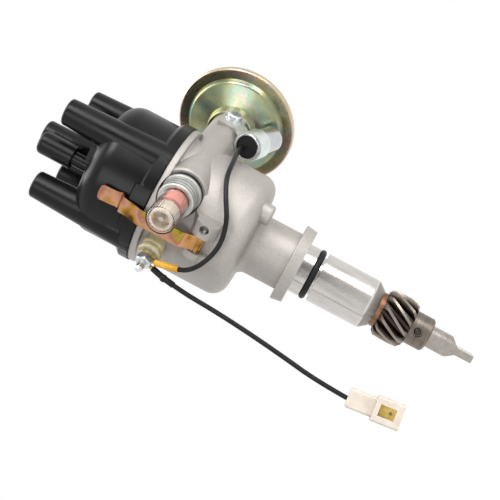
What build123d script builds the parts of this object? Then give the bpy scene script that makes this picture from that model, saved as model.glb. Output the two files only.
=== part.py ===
from build123d import *
import math
import os

os.makedirs("parts", exist_ok=True)

# A four-cylinder ignition distributor that also carries the oil pump drive.
# Lengths are in millimetres and angles in degrees. The origin is on the shaft's axis at
# the flange's seating face, and +Z points up to the cap. An azimuth is measured from -Y,
# positive towards +X, so azimuth 0 is the front of the distributor.

# ---------------------------------------------------------------- clearances
running_gap = 0.03          # radial, shaft in bush and plate hub in plate
pivot_gap = 0.05            # radial, small pins in their eyes
face_gap = 0.1              # axial, between faces that turn on each other
free_gap = 0.4              # between pieces that pass each other
stack_gap = 0.04            # between flat pieces stacked on the terminal

# ---------------------------------------------------------------- shank, flange and neck
shank_radius = 13.5
shank_length = 45.0
shank_nose_radius = 10.1
shank_nose_length = 4.4
flange_radius = 21.3
flange_draft = 1.0
flange_thickness = 6.3
neck_radius = 16.0
neck_fillet = 5.0
neck_length = 22.4
o_ring_section = 3.4
o_ring_squeeze = 0.5        # how far the free ring stands out of its groove
o_ring_groove_top = 6.0
o_ring_groove_width = 4.8

# ---------------------------------------------------------------- bowl
bowl_radius = 34.0
bowl_height = 51.3
bowl_wall = 3.5
bowl_floor = 4.3
bowl_corner = 8.5
rim_overhang = 3.6          # how far the rim stands out from the bowl
rim_thickness = 3.2
ledge_depth = 23.0          # from the rim down to the ledge that carries the breaker base
ledge_width = 2.5
drain_boss_radius = 5.4
drain_boss_drop = 4.7
drain_boss_inset = 9.0      # from the bowl's wall in to the drain boss's axis
drain_boss_azimuth = 39.0

# ---------------------------------------------------------------- vacuum boss
vacuum_azimuth = -33.5      # the way the octane selector's end points
vacuum_inset = 11.5         # from the bowl's wall in to the vacuum unit's axis
vacuum_drop = 12.0          # from the rim down to the vacuum unit's axis
boss_radius = 12.0
boss_sink = 3.0             # how far the boss's front lies inside the bowl's wall
boss_step = 12.2
arm_radius = 11.4
arm_setback = 14.0          # from the dish's rim forward to the arm's end
boss_bore_radius = 6.0
spot_face_radius = 10.7     # sunk into the bowl's wall around the octane selector
spot_face_wall = 1.8
screw_pad_width = 15.0
screw_pad_height = 12.5

# ---------------------------------------------------------------- cap
gasket_thickness = 0.6
cap_collar_overhang = 0.6   # how far the collar stands out from the bowl's rim
cap_collar_height = 7.0
cap_collar_bevel = 2.0
cap_collar_step = 2.9       # from the collar in to the body
cap_body_height = 36.4
cap_body_round = 10.5
cap_wall = 3.0
cap_roof = 7.0
tower_inset = 6.2           # from the cap's body in to the outer towers' axes
tower_azimuth = 29.4
tower_count = 4
tower_tip_radius = 7.05
tower_foot_radius = 9.6
tower_height = 57.9
tower_round = 1.6
centre_tower_tip_radius = 7.1
centre_tower_foot_radius = 7.9
centre_tower_height = 68.8
socket_radius = 4.2
socket_depth = 18.0
lug_height = 9.6
lug_rise = 3.7              # how far a clip lug stands out from the cap's body
pad_rise = 3.6              # how far a collar pad stands out from the cap's body
pad_height = 5.6
pad_spans = ((-52.0, -30.0), (0.0, 20.0))
lug_half_angle = 19.0
hood_radius = 6.0
hood_wall = 1.4
hood_bottom = 45.7
hood_top = 64.4
hood_reach = 18.3
vent_pipe_radius = 3.8
vent_pipe_bore = 2.0
vent_pipe_height = 52.5

# ---------------------------------------------------------------- clips
clip_seat_azimuth = -21.2
clip_face_azimuth = -27.5
rear_clip_azimuth = 160.0
clip_pivot_stand = 3.0      # from the bowl's wall out to the pivot
clip_pivot_drop = 31.0      # from the rim down to the pivot
clip_lean = 1.0             # how far the strip leans to its right
clip_bow = 5.4              # how far the strip bows out past its pivot
clip_tip_rise = 13.8        # from the lug's top up to the strip's tip
clip_width = 8.3
clip_thickness = 0.8
clip_pin_radius = 1.25
clip_curl_wall = 0.8
left_ear_width = 3.8
right_ear_width = 7.8
clip_pin_reach = 8.6        # from the clip's middle to the pin's riveted end
ear_gap = 0.5

# ---------------------------------------------------------------- drive end
washer_radius = 9.5
washer_thickness = 2.6
gear_teeth = 13
gear_tip_radius = 13.35
gear_root_radius = 9.6
gear_flank_radius = 11.5    # where a tooth's flank steepens
gear_face = 17.0
gear_helix = 31.0
gear_bevel = 2.2
hub_radius = 9.15
hub_length = 11.0
gear_pin_radius = 1.8
gear_pin_drop = 4.2
gear_pin_recess = 2.85
gear_pin_recess_depth = 2.7
gear_pin_inset = 0.6        # from the hub's surface in to the pin's end
shaft_radius = 6.0
shaft_azimuth = -6.5
tang_thickness = 3.9
tang_length = 9.5
tang_shoulder = 4.5
shaft_end_drop = 25.2       # from the hub's lower face to the tang's tip
bush_radius = 8.2
bush_length = 18.0
upper_bush_top = 31.0

# ---------------------------------------------------------------- governor and cam
governor_height = 38.0
governor_plate_thickness = 2.5
governor_plate_gap = 1.2    # from the plate's edge to the ledge around it
governor_hole_reach = 17.0
governor_hole_radius = 4.5
weight_pivot_reach = 19.0
weight_pin_radius = 1.6
weight_thickness = 4.0
weight_inner_radius = 9.6
weight_outer_radius = 17.5
weight_drive_reach = 13.5
weight_drive_radius = 1.3
weight_swing = 12.0
yoke_thickness = 1.8
yoke_radius = 21.0
yoke_half_width = 10.5
yoke_slot_length = 8.4
yoke_slot_play = 1.6
spring_post_inset = 1.4     # from the governor plate's edge in to the post
yoke_post_reach = 17.0
spring_post_radius = 1.1
governor_spring_radius = 1.9
governor_spring_wire = 0.7
governor_spring_turns = 5
journal_radius = 4.5
journal_top = 74.0
cam_sleeve_radius = 6.6
cam_flat = 7.6
cam_corner = 4.9
cam_low = 63.0
cam_high = 72.0
cam_top = 84.0

# ---------------------------------------------------------------- rotor
rotor_hub_radius = 11.5
rotor_skirt = 6.0           # how far the hub reaches down over the cam
rotor_arm_thickness = 4.2
rotor_arm_width = 12.0
rotor_tail_radius = 16.0
rotor_tip_thickness = 1.3
rotor_strip_pad_radius = 5.0
rotor_azimuth = 29.4
rotor_gap = 0.6             # spark gap to the side electrodes
electrode_radius = 3.0
electrode_drop = 4.0        # from the rotor's top down to the side electrodes' ends
electrode_inset = 0.3       # from a socket's floor down to the contact in it
rotor_strip_width = 5.0
rotor_strip_thickness = 1.2
brush_radius = 2.5
brush_length = 12.5
brush_spring_length = 12.0
brush_boss_radius = 6.0
brush_boss_drop = 13.0
pier_radius = 5.2
pier_rise = 3.4             # from the rotor's strip up to the moulded piers

# ---------------------------------------------------------------- contact breaker
base_plate_thickness = 1.4
base_plate_bore = 13.7
moving_plate_overlap = 0.9  # how far the plate reaches past the vacuum unit's axis
moving_plate_thickness = 1.4
moving_plate_bore = 10.5
plate_screw_radius = 1.6
plate_screw_azimuths = (72.0, 252.0)
plate_screw_inset = 3.7     # from the cavity's wall in to a screw
plate_screw_depth = 5.4
plate_screw_boss_radius = 3.6
plate_screw_boss_height = 4.4
breaker_pivot_inset = 2.9   # from the moving plate's edge in to the pivot
breaker_pivot_azimuth = 178.0
breaker_arm_width = 5.0
breaker_arm_thickness = 1.2
contact_azimuth = -112.0
contact_inset = 6.5         # from the moving plate's edge in to the contacts
contact_radius = 2.2
contact_thickness = 1.2
contact_gap = 0.4
breaker_pivot_radius = 1.5

# ---------------------------------------------------------------- vacuum unit
dish_radius = 33.0
dish_rim_reach = 64.0
dish_sheet = 0.8
dish_hub_radius = 13.0
dish_band_width = 7.0       # from the cone out to the dish's edge
dish_cone_depth = 8.0
dish_band_step = 2.6
dish_crimp_width = 2.6
dish_rim_setback = 2.4
rear_dome_inset = 7.0       # from the dish's edge in to the rear dome
rear_dome_depth = 17.0
nozzle_radius = 3.0
nozzle_bore = 1.8
nozzle_length = 15.0
diaphragm_thickness = 0.7
diaphragm_plate_radius = 15.0
rod_radius = 1.6
rod_pin_radius = 1.5
rod_pin_lead = 2.0          # how far the pin stands past the boss's middle at rest
vacuum_advance = 10.0
vacuum_spring_radius = 9.0
vacuum_spring_wire = 1.3
vacuum_spring_turns = 4

# ---------------------------------------------------------------- octane selector
selector_seal_radius = 9.95
selector_seal_thickness = 2.4
selector_ring_radius = 9.4
selector_ring_length = 10.0
selector_ring_bands = 3
selector_band_pitch = 2.4
selector_band_depth = 0.5
selector_band_width = 0.8
selector_cap_radius = 7.4
selector_cap_wall = 0.8
selector_cap_length = 33.5  # from the boss's front to the cap's end
knob_radius = 5.7
knob_length = 9.4
knob_recess_radius = 4.4
knob_recess_depth = 5.0
knob_nub_radius = 1.2
knob_end_gap = 0.6
knob_ribs = 18
knob_stem_radius = 2.4
knob_stem_depth = 14.0
indicator_length = 11.0
selector_travel = 1.5

# ---------------------------------------------------------------- terminal
terminal_azimuth = -46.0
terminal_drop = 11.0        # from the rim down to the stud
terminal_block_width = 15.0
terminal_block_height = 10.6
terminal_block_round = 4.0
terminal_block_rise = 4.7   # how far the block stands out from the bowl
terminal_collar_radius = 6.1
terminal_collar_thickness = 2.8
terminal_neck_radius = 3.4
stud_radius = 2.0
stud_rise = 19.7            # from the bowl's wall out to the stud's tip
terminal_washer_radius = 4.7
terminal_washer_thickness = 0.8
tag_radius = 3.8
tag_thickness = 0.8
tag_tail_width = 2.0
tag_tail_end = 5.6          # from the stud's axis down to the tail's end
tag_sides = (-0.3, -4.0)    # how far each tail lies to the right of the stud
tag_tail_tops = (-2.4, 1.0)
lead_start = 5.0            # from the stud's axis down to a lead's end
nut_across_flats = 7.6
nut_height = 3.4

# ---------------------------------------------------------------- condenser
condenser_radius = 7.0
condenser_length = 31.0
condenser_rim = 0.9
condenser_inset = 0.9       # from the bowl's side in to the condenser's middle
condenser_drop = 18.4       # below the vacuum unit's axis
condenser_lead_in = 26.0    # from the dish's rim forward to the condenser's middle
condenser_tilt = 14.3
condenser_azimuth = -25.2
strap_sheet = 0.9
strap_width = 11.0
strap_forward = 3.2
strap_screw_lead_in = 21.5  # from the dish's rim forward to the strap's screw
screw_pad_rise = 1.2
strap_screw_radius = 2.2
strap_screw_head_radius = 4.7
strap_screw_head_height = 3.4

# ---------------------------------------------------------------- leads
lead_radius = 1.25
sleeve_radius = 1.75
shrink_radius = 1.6
shrink_bulge_radius = 2.0
shrink_bulge_drop = 7.4     # from the lead's end down to the bulge
connector_width = 10.4
connector_depth = 6.6
connector_neck_length = 14.0
connector_mouth_width = 13.5
connector_mouth_depth = 10.6
connector_mouth_length = 14.6
connector_wall = 1.3
connector_round = 1.5
connector_tilt = 6.5
connector_turn = 2.0
connector_lead_in = 17.5    # from the primary lead's last bend down to the connector
connector_shift = 0.7       # from the lead's end right to the connector's middle
sleeve_share = 0.55         # of a run, where a sleeve ends on it
window_width = 5.9
window_low = 16.5           # from the connector's top to the window
window_high = 25.0
blade_width = 6.3
blade_thickness = 0.8
blade_setback = 1.6         # from the connector's middle back to the blade
blade_start = 4.0
blade_end = 25.8
blade_hole_radius = 0.95
blade_hole_drop = 22.9

# Each lead's route runs from its tag at the terminal to its far end. A point is an azimuth,
# how far it stands out from the bowl's wall, and how far it lies below the rim. The first
# and last points are worked out from the pieces that the lead meets.
condenser_lead_points = (
    (-43.8, 9.6, 23.4),
    (-39.7, 10.2, 31.8),
    (-30.2, 8.2, 37.6),
    (-13.9, 6.6, 41.3),
    (3.3, 6.2, 39.0),
    (17.9, 5.8, 32.7),
    (33.4, 6.0, 27.6),
    (54.6, 4.2, 26.1),
    (74.9, 4.5, 24.4),
)
primary_lead_points = (
    (-52.1, 12.0, 22.0),
    (-52.9, 13.9, 35.0),
    (-53.1, 14.8, 54.0),
    (-54.1, 16.3, 74.0),
    (-55.5, 18.2, 94.0),
    (-57.1, 20.4, 113.5),
)

# ---------------------------------------------------------------- worked-out sizes
rim_radius = bowl_radius + rim_overhang
cavity_radius = bowl_radius - bowl_wall
drain_boss_reach = bowl_radius - drain_boss_inset
vacuum_offset = bowl_radius - vacuum_inset
boss_front = math.sqrt(bowl_radius ** 2 - vacuum_offset ** 2) - boss_sink
arm_reach = dish_rim_reach - arm_setback
cap_collar_radius = rim_radius + cap_collar_overhang
cap_body_radius = cap_collar_radius - cap_collar_step
tower_circle = cap_body_radius - tower_inset
lug_radius = cap_body_radius + lug_rise
clip_pivot_reach = bowl_radius + clip_pivot_stand
governor_plate_radius = cavity_radius - ledge_width - governor_plate_gap
spring_post_reach = governor_plate_radius - spring_post_inset
rotor_tip_reach = tower_circle - electrode_radius - rotor_gap
rotor_arm_reach = rotor_tip_reach - rotor_tip_thickness
moving_plate_radius = vacuum_offset + moving_plate_overlap
plate_screw_reach = cavity_radius - plate_screw_inset
breaker_pivot_reach = moving_plate_radius - breaker_pivot_inset
contact_reach = moving_plate_radius - contact_inset
dish_cone_radius = dish_radius - dish_band_width
dish_crimp = 3 * dish_sheet + diaphragm_thickness
rear_dome_radius = dish_radius - rear_dome_inset
selector_cap_reach = boss_front + selector_cap_length
terminal_block_reach = bowl_radius + terminal_block_rise
terminal_front = terminal_block_reach + terminal_collar_thickness
stud_reach = bowl_radius + stud_rise
condenser_offset = bowl_radius - condenser_inset - vacuum_offset
condenser_setback = dish_rim_reach - condenser_lead_in
strap_screw_setback = dish_rim_reach - strap_screw_lead_in
screw_pad_face = arm_radius + screw_pad_rise

neck_top = flange_thickness + neck_length
bowl_top = neck_top + bowl_height
cavity_floor = neck_top + bowl_floor
ledge_height = bowl_top - ledge_depth
vacuum_height = bowl_top - vacuum_drop
terminal_height = bowl_top - terminal_drop
clip_pivot_height = bowl_top - clip_pivot_drop
cap_foot = bowl_top + gasket_thickness
cap_shoulder = cap_foot + cap_collar_height
cap_roof_top = cap_foot + cap_body_height
cap_ceiling = cap_roof_top - cap_roof
tower_tip = cap_foot + tower_height
centre_tower_tip = cap_foot + centre_tower_height
washer_top = -shank_length - face_gap
gear_top = washer_top - washer_thickness - face_gap
gear_bottom = gear_top - gear_face
hub_bottom = gear_bottom - hub_length
gear_pin_height = gear_bottom - gear_pin_drop
tang_tip = hub_bottom - shaft_end_drop
weight_bottom = governor_height + governor_plate_thickness + face_gap
weight_top = weight_bottom + weight_thickness
yoke_bottom = weight_top + 0.6
yoke_top = yoke_bottom + yoke_thickness
spring_height = yoke_top + governor_spring_radius + free_gap
rotor_top = cam_top + rotor_arm_thickness
strip_top = rotor_top + rotor_strip_thickness
moving_plate_bottom = ledge_height + base_plate_thickness + face_gap
moving_plate_top = moving_plate_bottom + moving_plate_thickness
contact_height = (cam_low + cam_high) / 2
pier_foot = strip_top + pier_rise
lug_azimuths = (clip_seat_azimuth, rear_clip_azimuth)


# ---------------------------------------------------------------- building helpers
def around(azimuth, radius, height=0.0):
    """The point at an azimuth and radius from the shaft's axis."""
    turn = math.radians(azimuth)
    return (radius * math.sin(turn), -radius * math.cos(turn), height)


def outward(azimuth, height=0.0, radius=0.0, side=0.0):
    """A plane that faces outwards: x runs to the right, y runs up, z runs outwards."""
    turn = math.radians(azimuth)
    sideways = Vector(math.cos(turn), math.sin(turn), 0)
    forwards = Vector(math.sin(turn), -math.cos(turn), 0)
    origin = sideways * side + forwards * radius + Vector(0, 0, height)
    return Plane(origin=origin, x_dir=sideways, z_dir=forwards)


def disc(radius, low, high):
    """An upright cylinder between two heights."""
    bottom_centre = (Align.CENTER, Align.CENTER, Align.MIN)
    return Pos(0, 0, low) * Cylinder(radius, high - low, align=bottom_centre)


def ring(outer, inner, low, high):
    """An upright tube between two heights."""
    return disc(outer, low, high) - disc(inner, low - 1, high + 1)


def block(x_range, y_range, z_range):
    """A box given by its limits along each axis."""
    limits = (x_range, y_range, z_range)
    size = [high - low for low, high in limits]
    centre = [(high + low) / 2 for low, high in limits]
    return Pos(*centre) * Box(*size)


def outline(*corners):
    """A flat face through (x, y) corners; a third value rounds that corner."""
    face = make_face(Polyline(*[corner[:2] for corner in corners], close=True))
    for corner in corners:
        if len(corner) == 3:
            vertex = face.vertices().sort_by_distance((corner[0], corner[1], 0))[0]
            face = fillet(vertex, corner[2])
    return face


def turned(*corners):
    """A solid of revolution about +Z through (radius, height) corners."""
    return revolve(Plane.XZ * outline(*corners), Axis.Z)


def save(shape, node):
    """Writes one sub-part as one node."""
    export_step(shape, f"parts/{node}.step")


# On an outward plane's piece, this plane shows it from its side: x outwards and y upwards.
side_view = Plane(origin=(0, 0, 0), x_dir=(0, 0, 1), z_dir=(-1, 0, 0))
vacuum_frame = outward(vacuum_azimuth, vacuum_height, side=vacuum_offset)
terminal_frame = outward(terminal_azimuth, terminal_height)
front_clip_frame = Plane(
    origin=around(clip_seat_azimuth, clip_pivot_reach, clip_pivot_height),
    x_dir=outward(clip_face_azimuth).x_dir,
    z_dir=outward(clip_face_azimuth).z_dir,
)
rear_clip_frame = outward(rear_clip_azimuth, clip_pivot_height, clip_pivot_reach)


# ---------------------------------------------------------------- housing
def clip_bracket(frame):
    """A narrow ear and a wide flat one on a pad, with the clip's pin through both."""
    inner = clip_width / 2 + ear_gap
    left = inner + left_ear_width
    depth = clip_pivot_stand + 4
    pad_side = outline((-6.2, -depth), (9.0, -depth), (6.0, -2.6), (-6.2, -2.6))
    ear_side = outline((-6.2, -depth), (5.6, -depth), (5.6, 1.2, 1.5), (2.2, 3.2, 1.5),
                       (-3.0, 3.2, 2.0), (-6.2, 0.4, 2.0))
    bracket = Pos(-left, 0, 0) * extrude(Plane.YZ * pad_side, left + inner + right_ear_width)
    for low, width in ((-left, left_ear_width), (inner, right_ear_width)):
        bracket += Pos(low, 0, 0) * extrude(Plane.YZ * ear_side, width)
    hole = Plane.YZ.offset(-left - 1) * Circle(clip_pin_radius)
    bracket -= extrude(hole, left + 1 + clip_pin_reach)
    riveted_end = disc(2 * clip_pin_radius, -clip_pin_radius, clip_pivot_reach)
    return frame * (bracket - Pos(clip_pin_reach + 1, 0, 0) * riveted_end)


def make_housing():
    groove_floor = shank_radius + o_ring_squeeze - o_ring_section
    groove_bottom = o_ring_groove_top + o_ring_groove_width
    nose_start = shank_length - shank_nose_length
    body = turned(
        (0, -shank_length),
        (shank_nose_radius, -shank_length),
        (shank_radius, -nose_start, 4.0),
        (shank_radius, -groove_bottom),
        (groove_floor, -groove_bottom),
        (groove_floor, -o_ring_groove_top),
        (shank_radius, -o_ring_groove_top),
        (shank_radius, 0),
        (flange_radius - flange_draft, 0),
        (flange_radius, flange_thickness, 0.6),
        (neck_radius, flange_thickness),
        (neck_radius, neck_top, neck_fillet),
        (bowl_radius, neck_top, bowl_corner),
        (bowl_radius, bowl_top - rim_thickness, 0.6),
        (rim_radius, bowl_top - rim_thickness, 0.6),
        (rim_radius, bowl_top),
        (0, bowl_top),
    )
    boss = disc(boss_radius, -boss_step, boss_front)
    boss = chamfer(boss.faces().sort_by(Axis.Z)[-1].edges(), 0.9)
    boss += disc(arm_radius, -arm_reach, -boss_step)
    pad_middle = -strap_screw_setback
    boss += block((0, screw_pad_face), (-screw_pad_height / 2, screw_pad_height / 2),
                  (pad_middle - screw_pad_width / 2, pad_middle + screw_pad_width / 2))
    body += vacuum_frame * boss
    drain = disc(drain_boss_radius, neck_top - drain_boss_drop, neck_top + bowl_floor)
    drain = fillet(drain.faces().sort_by(Axis.Z)[0].edges(), 1.5)
    body += Pos(*around(drain_boss_azimuth, drain_boss_reach)) * drain
    body += clip_bracket(front_clip_frame)
    body += clip_bracket(rear_clip_frame)
    cavity = disc(cavity_radius - ledge_width, cavity_floor, ledge_height)
    cavity += disc(cavity_radius, ledge_height, bowl_top + 1)
    cavity -= vacuum_frame * disc(spot_face_radius + spot_face_wall, boss_front - spot_face_wall,
                                  cavity_radius + 4)
    body -= cavity
    for azimuth in plate_screw_azimuths:
        place = Pos(*around(azimuth, plate_screw_reach))
        body += place * disc(plate_screw_boss_radius, ledge_height - plate_screw_boss_height,
                             ledge_height)
        body -= place * disc(plate_screw_radius, ledge_height - plate_screw_depth, ledge_height + 1)
    body -= disc(bush_radius, -shank_length - 1, cavity_floor + 1)
    body -= vacuum_frame * disc(boss_bore_radius, -arm_reach - 1, boss_front + 1)
    body -= vacuum_frame * disc(spot_face_radius, boss_front, boss_front + rim_radius)
    screw_hole = extrude(Plane.YZ.offset(4) * Circle(strap_screw_radius), screw_pad_face)
    body -= vacuum_frame * Pos(0, 0, pad_middle) * screw_hole
    body -= terminal_frame * disc(terminal_neck_radius, cavity_radius - 4, bowl_radius + 6)
    save(body, "housing")


def make_shank_fittings():
    ring_middle = shank_radius + o_ring_squeeze - o_ring_section / 2
    ring_height = -o_ring_groove_top - o_ring_section / 2 - 0.05
    save(Pos(0, 0, ring_height) * Torus(ring_middle, o_ring_section / 2), "o_ring")
    bore = shaft_radius + running_gap
    save(ring(bush_radius, bore, -shank_length, -shank_length + bush_length), "lower_bush")
    save(ring(bush_radius, bore, upper_bush_top - bush_length, upper_bush_top), "upper_bush")


# ---------------------------------------------------------------- cap
def tower_places():
    """The azimuth of each outer tower."""
    return [tower_azimuth + step * 360 / tower_count for step in range(tower_count)]


def cap_sector(section, low, high):
    """The part of a turned piece between two azimuths."""
    reach = 2 * lug_radius
    sides = [around(low, reach), (0, 0, 0), around(high, reach)]
    sector = make_face(Polyline(*[side[:2] for side in sides], close=True))
    return section & extrude(Pos(0, 0, cap_foot - 1) * sector, cap_collar_height + lug_height)


def lug_wedge(azimuth):
    """A raised block on the collar whose upper face holds a clip's fold."""
    section = turned(
        (cap_body_radius - cap_wall, cap_foot),
        (lug_radius, cap_foot),
        (lug_radius, cap_foot + lug_height - 1.2),
        (cap_body_radius, cap_foot + lug_height),
        (cap_body_radius - cap_wall, cap_foot + lug_height),
    )
    return cap_sector(section, azimuth - lug_half_angle, azimuth + lug_half_angle)


def collar_pad(low, high):
    """A flat pad on the collar's side."""
    section = ring(cap_body_radius + pad_rise, cap_body_radius - cap_wall, cap_foot,
                   cap_foot + pad_height)
    return cap_sector(section, low, high)


def make_cap():
    cap = turned(
        (0, cap_foot),
        (cap_collar_radius, cap_foot),
        (cap_collar_radius, cap_shoulder - cap_collar_bevel),
        (cap_collar_radius - cap_collar_bevel, cap_shoulder),
        (cap_body_radius, cap_shoulder),
        (cap_body_radius, cap_roof_top, cap_body_round),
        (0, cap_roof_top),
    )
    tower = turned(
        (0, cap_foot),
        (tower_foot_radius, cap_foot),
        (tower_tip_radius, tower_tip, tower_round),
        (0, tower_tip),
    )
    for azimuth in tower_places():
        cap += Pos(*around(azimuth, tower_circle)) * tower
    cap += turned(
        (0, cap_roof_top - 2),
        (centre_tower_foot_radius, cap_roof_top - 2),
        (centre_tower_tip_radius, centre_tower_tip, tower_round),
        (0, centre_tower_tip),
    )
    for azimuth in lug_azimuths:
        cap += lug_wedge(azimuth)
    for low, high in pad_spans:
        cap += collar_pad(low, high)
    cap += vent_hood()
    cavity = turned(
        (0, cap_foot - 1),
        (cap_body_radius - cap_wall, cap_foot - 1),
        (cap_body_radius - cap_wall, cap_ceiling, cap_body_round - 4),
        (0, cap_ceiling),
    )
    cap -= cavity
    cap += disc(brush_boss_radius, cap_ceiling - brush_boss_drop, cap_ceiling + 1)
    for azimuth in tower_places():
        place = Pos(*around(azimuth, tower_circle))
        cap += place * disc(pier_radius, pier_foot, cap_ceiling + 1)
        cap -= place * disc(socket_radius, tower_tip - socket_depth, tower_tip + 1)
        cap -= place * disc(electrode_radius, pier_foot - 1, tower_tip)
    cap -= disc(socket_radius, centre_tower_tip - socket_depth, centre_tower_tip + 1)
    cap -= disc(brush_radius + pivot_gap, cap_ceiling - brush_boss_drop - 1, centre_tower_tip)
    lug_bore = disc(vent_pipe_bore, cap_ceiling - 1, cap_foot + vent_pipe_height + 1)
    cap -= Pos(*around(hood_azimuth(), hood_reach)) * lug_bore
    save(cap, "cap")


def hood_azimuth():
    """The vent stands midway between the two front towers."""
    return tower_azimuth - 180 / tower_count


def vent_hood():
    """A vent pipe under a hood that is open below and joined to the centre tower."""
    low = cap_foot + hood_bottom
    high = cap_foot + hood_top
    hood = turned((0, low), (hood_radius, low), (hood_radius, high, 2.4), (0, high))
    web_depth = hood_reach - centre_tower_tip_radius + 2
    web = block((-hood_radius * 0.7, hood_radius * 0.7), (0, web_depth), (low, high - 2))
    pipe = disc(vent_pipe_radius, cap_roof_top - 2, cap_foot + vent_pipe_height)
    inside = disc(hood_radius - hood_wall, low - 1, high - 2 * hood_wall)
    ledge = block((0, hood_radius + 4), (-3, 3), (cap_roof_top - 1, cap_roof_top + 3))
    return Rot(0, 0, hood_azimuth()) * Pos(0, -hood_reach, 0) * (hood + web - inside + pipe + ledge)


def make_cap_fittings():
    gasket_lip = cap_collar_radius - 0.2
    save(ring(gasket_lip, cap_body_radius - cap_wall, bowl_top, cap_foot), "cap_gasket")
    electrode_low = rotor_top - electrode_drop
    electrode_high = tower_tip - socket_depth - electrode_inset
    electrode = disc(electrode_radius, electrode_low, electrode_high)
    places = [Pos(*around(azimuth, tower_circle)) for azimuth in tower_places()]
    save(Compound([place * electrode for place in places]), "side_electrodes")
    brush_low = strip_top + free_gap
    brush_high = brush_low + brush_length
    insert_low = brush_high + brush_spring_length
    insert_high = centre_tower_tip - socket_depth - electrode_inset
    save(disc(brush_radius + pivot_gap, insert_low, insert_high), "centre_electrode")
    save(disc(brush_radius, brush_low, brush_high), "centre_brush")
    save(coil(brush_radius - 0.5, 0.5, 6, brush_spring_length, brush_high), "brush_spring")


def coil(radius, wire, turns, length, low):
    """An upright coil spring between two heights, its wire inside both."""
    path = Pos(0, 0, low + wire) * Helix((length - 2 * wire) / turns, length - 2 * wire, radius)
    section = Plane(origin=path @ 0, z_dir=path % 0) * Circle(wire / 2)
    return sweep(section, path=path, is_frenet=True)


# ---------------------------------------------------------------- clips
def clip_profile():
    """The spring strip's side view: x runs outwards and y upwards from the pivot."""
    roll = clip_pin_radius + pivot_gap + clip_curl_wall / 2
    rise = cap_foot + lug_height - clip_pivot_height
    points = (
        (0.9 * roll, 0.7 * roll),
        (0.3 * clip_bow, 0.07 * rise),
        (0.85 * clip_bow, 0.21 * rise),
        (0.93 * clip_bow, 0.49 * rise),
        (clip_bow, 0.75 * rise),
        (0.63 * clip_bow, 0.9 * rise),
        (0.48 * clip_bow, 1.02 * rise),
        (-0.19 * clip_bow, 1.063 * rise),
        (0.04 * clip_bow, 1.146 * rise),
        (0.22 * clip_bow, rise + clip_tip_rise),
    )
    bends = [share * clip_bow for share in (0.18, 0.6, 1.5, 1.5, 0.9, 0.17, 0.17, 0.7)]
    return FilletPolyline(*points, radius=bends)


def clip_front_view():
    """The strip's front view, a little wider at the fold and rounded at its tip."""
    rise = cap_foot + lug_height - clip_pivot_height
    half = clip_width / 2
    tip = rise + clip_tip_rise
    return outline(
        (-half, -clip_width),
        (half, -clip_width),
        (half, 0.95 * rise),
        (half + 0.4, 1.06 * rise, 0.5),
        (half, 1.1 * rise),
        (half, tip - 0.6, 1.6),
        (0, tip + 0.2, clip_width),
        (-half, tip - 0.6, 1.6),
        (-half, 1.1 * rise),
        (-half - 0.4, 1.06 * rise, 0.5),
        (-half, 0.95 * rise),
    )


def make_clip(frame, node, pin_node):
    strip = extrude(side_view * trace(clip_profile(), clip_thickness), clip_width, both=True)
    strip &= Pos(0, 0, -clip_width) * extrude(clip_front_view(), 3 * clip_width)
    strip = Rot(0, 0, -clip_lean) * strip
    bore = clip_pin_radius + pivot_gap
    roll = Circle(bore + clip_curl_wall) - Circle(bore)
    curl = extrude(Plane.YZ * roll, clip_width / 2, both=True)
    pin_space = extrude(Plane.YZ * Circle(bore), clip_width, both=True)
    save(frame * (strip + curl - pin_space), node)
    left = clip_width / 2 + ear_gap + left_ear_width
    pin = extrude(Plane.YZ.offset(-left) * Circle(clip_pin_radius), left + clip_pin_reach)
    save(frame * pin, pin_node)


# ---------------------------------------------------------------- drive end
def gear_section():
    """One face with every tooth: rounded roots, straight flanks and narrow tips."""
    pitch = 360 / gear_teeth
    corners = []
    for tooth in range(gear_teeth):
        middle = tooth * pitch
        for turn, radius in ((-0.34, gear_root_radius), (-0.245, gear_flank_radius),
                             (-0.13, gear_tip_radius), (0.13, gear_tip_radius),
                             (0.245, gear_flank_radius), (0.34, gear_root_radius)):
            corners.append(around(middle + turn * pitch, radius)[:2])
    return make_face(Polyline(*corners, close=True))


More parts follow.
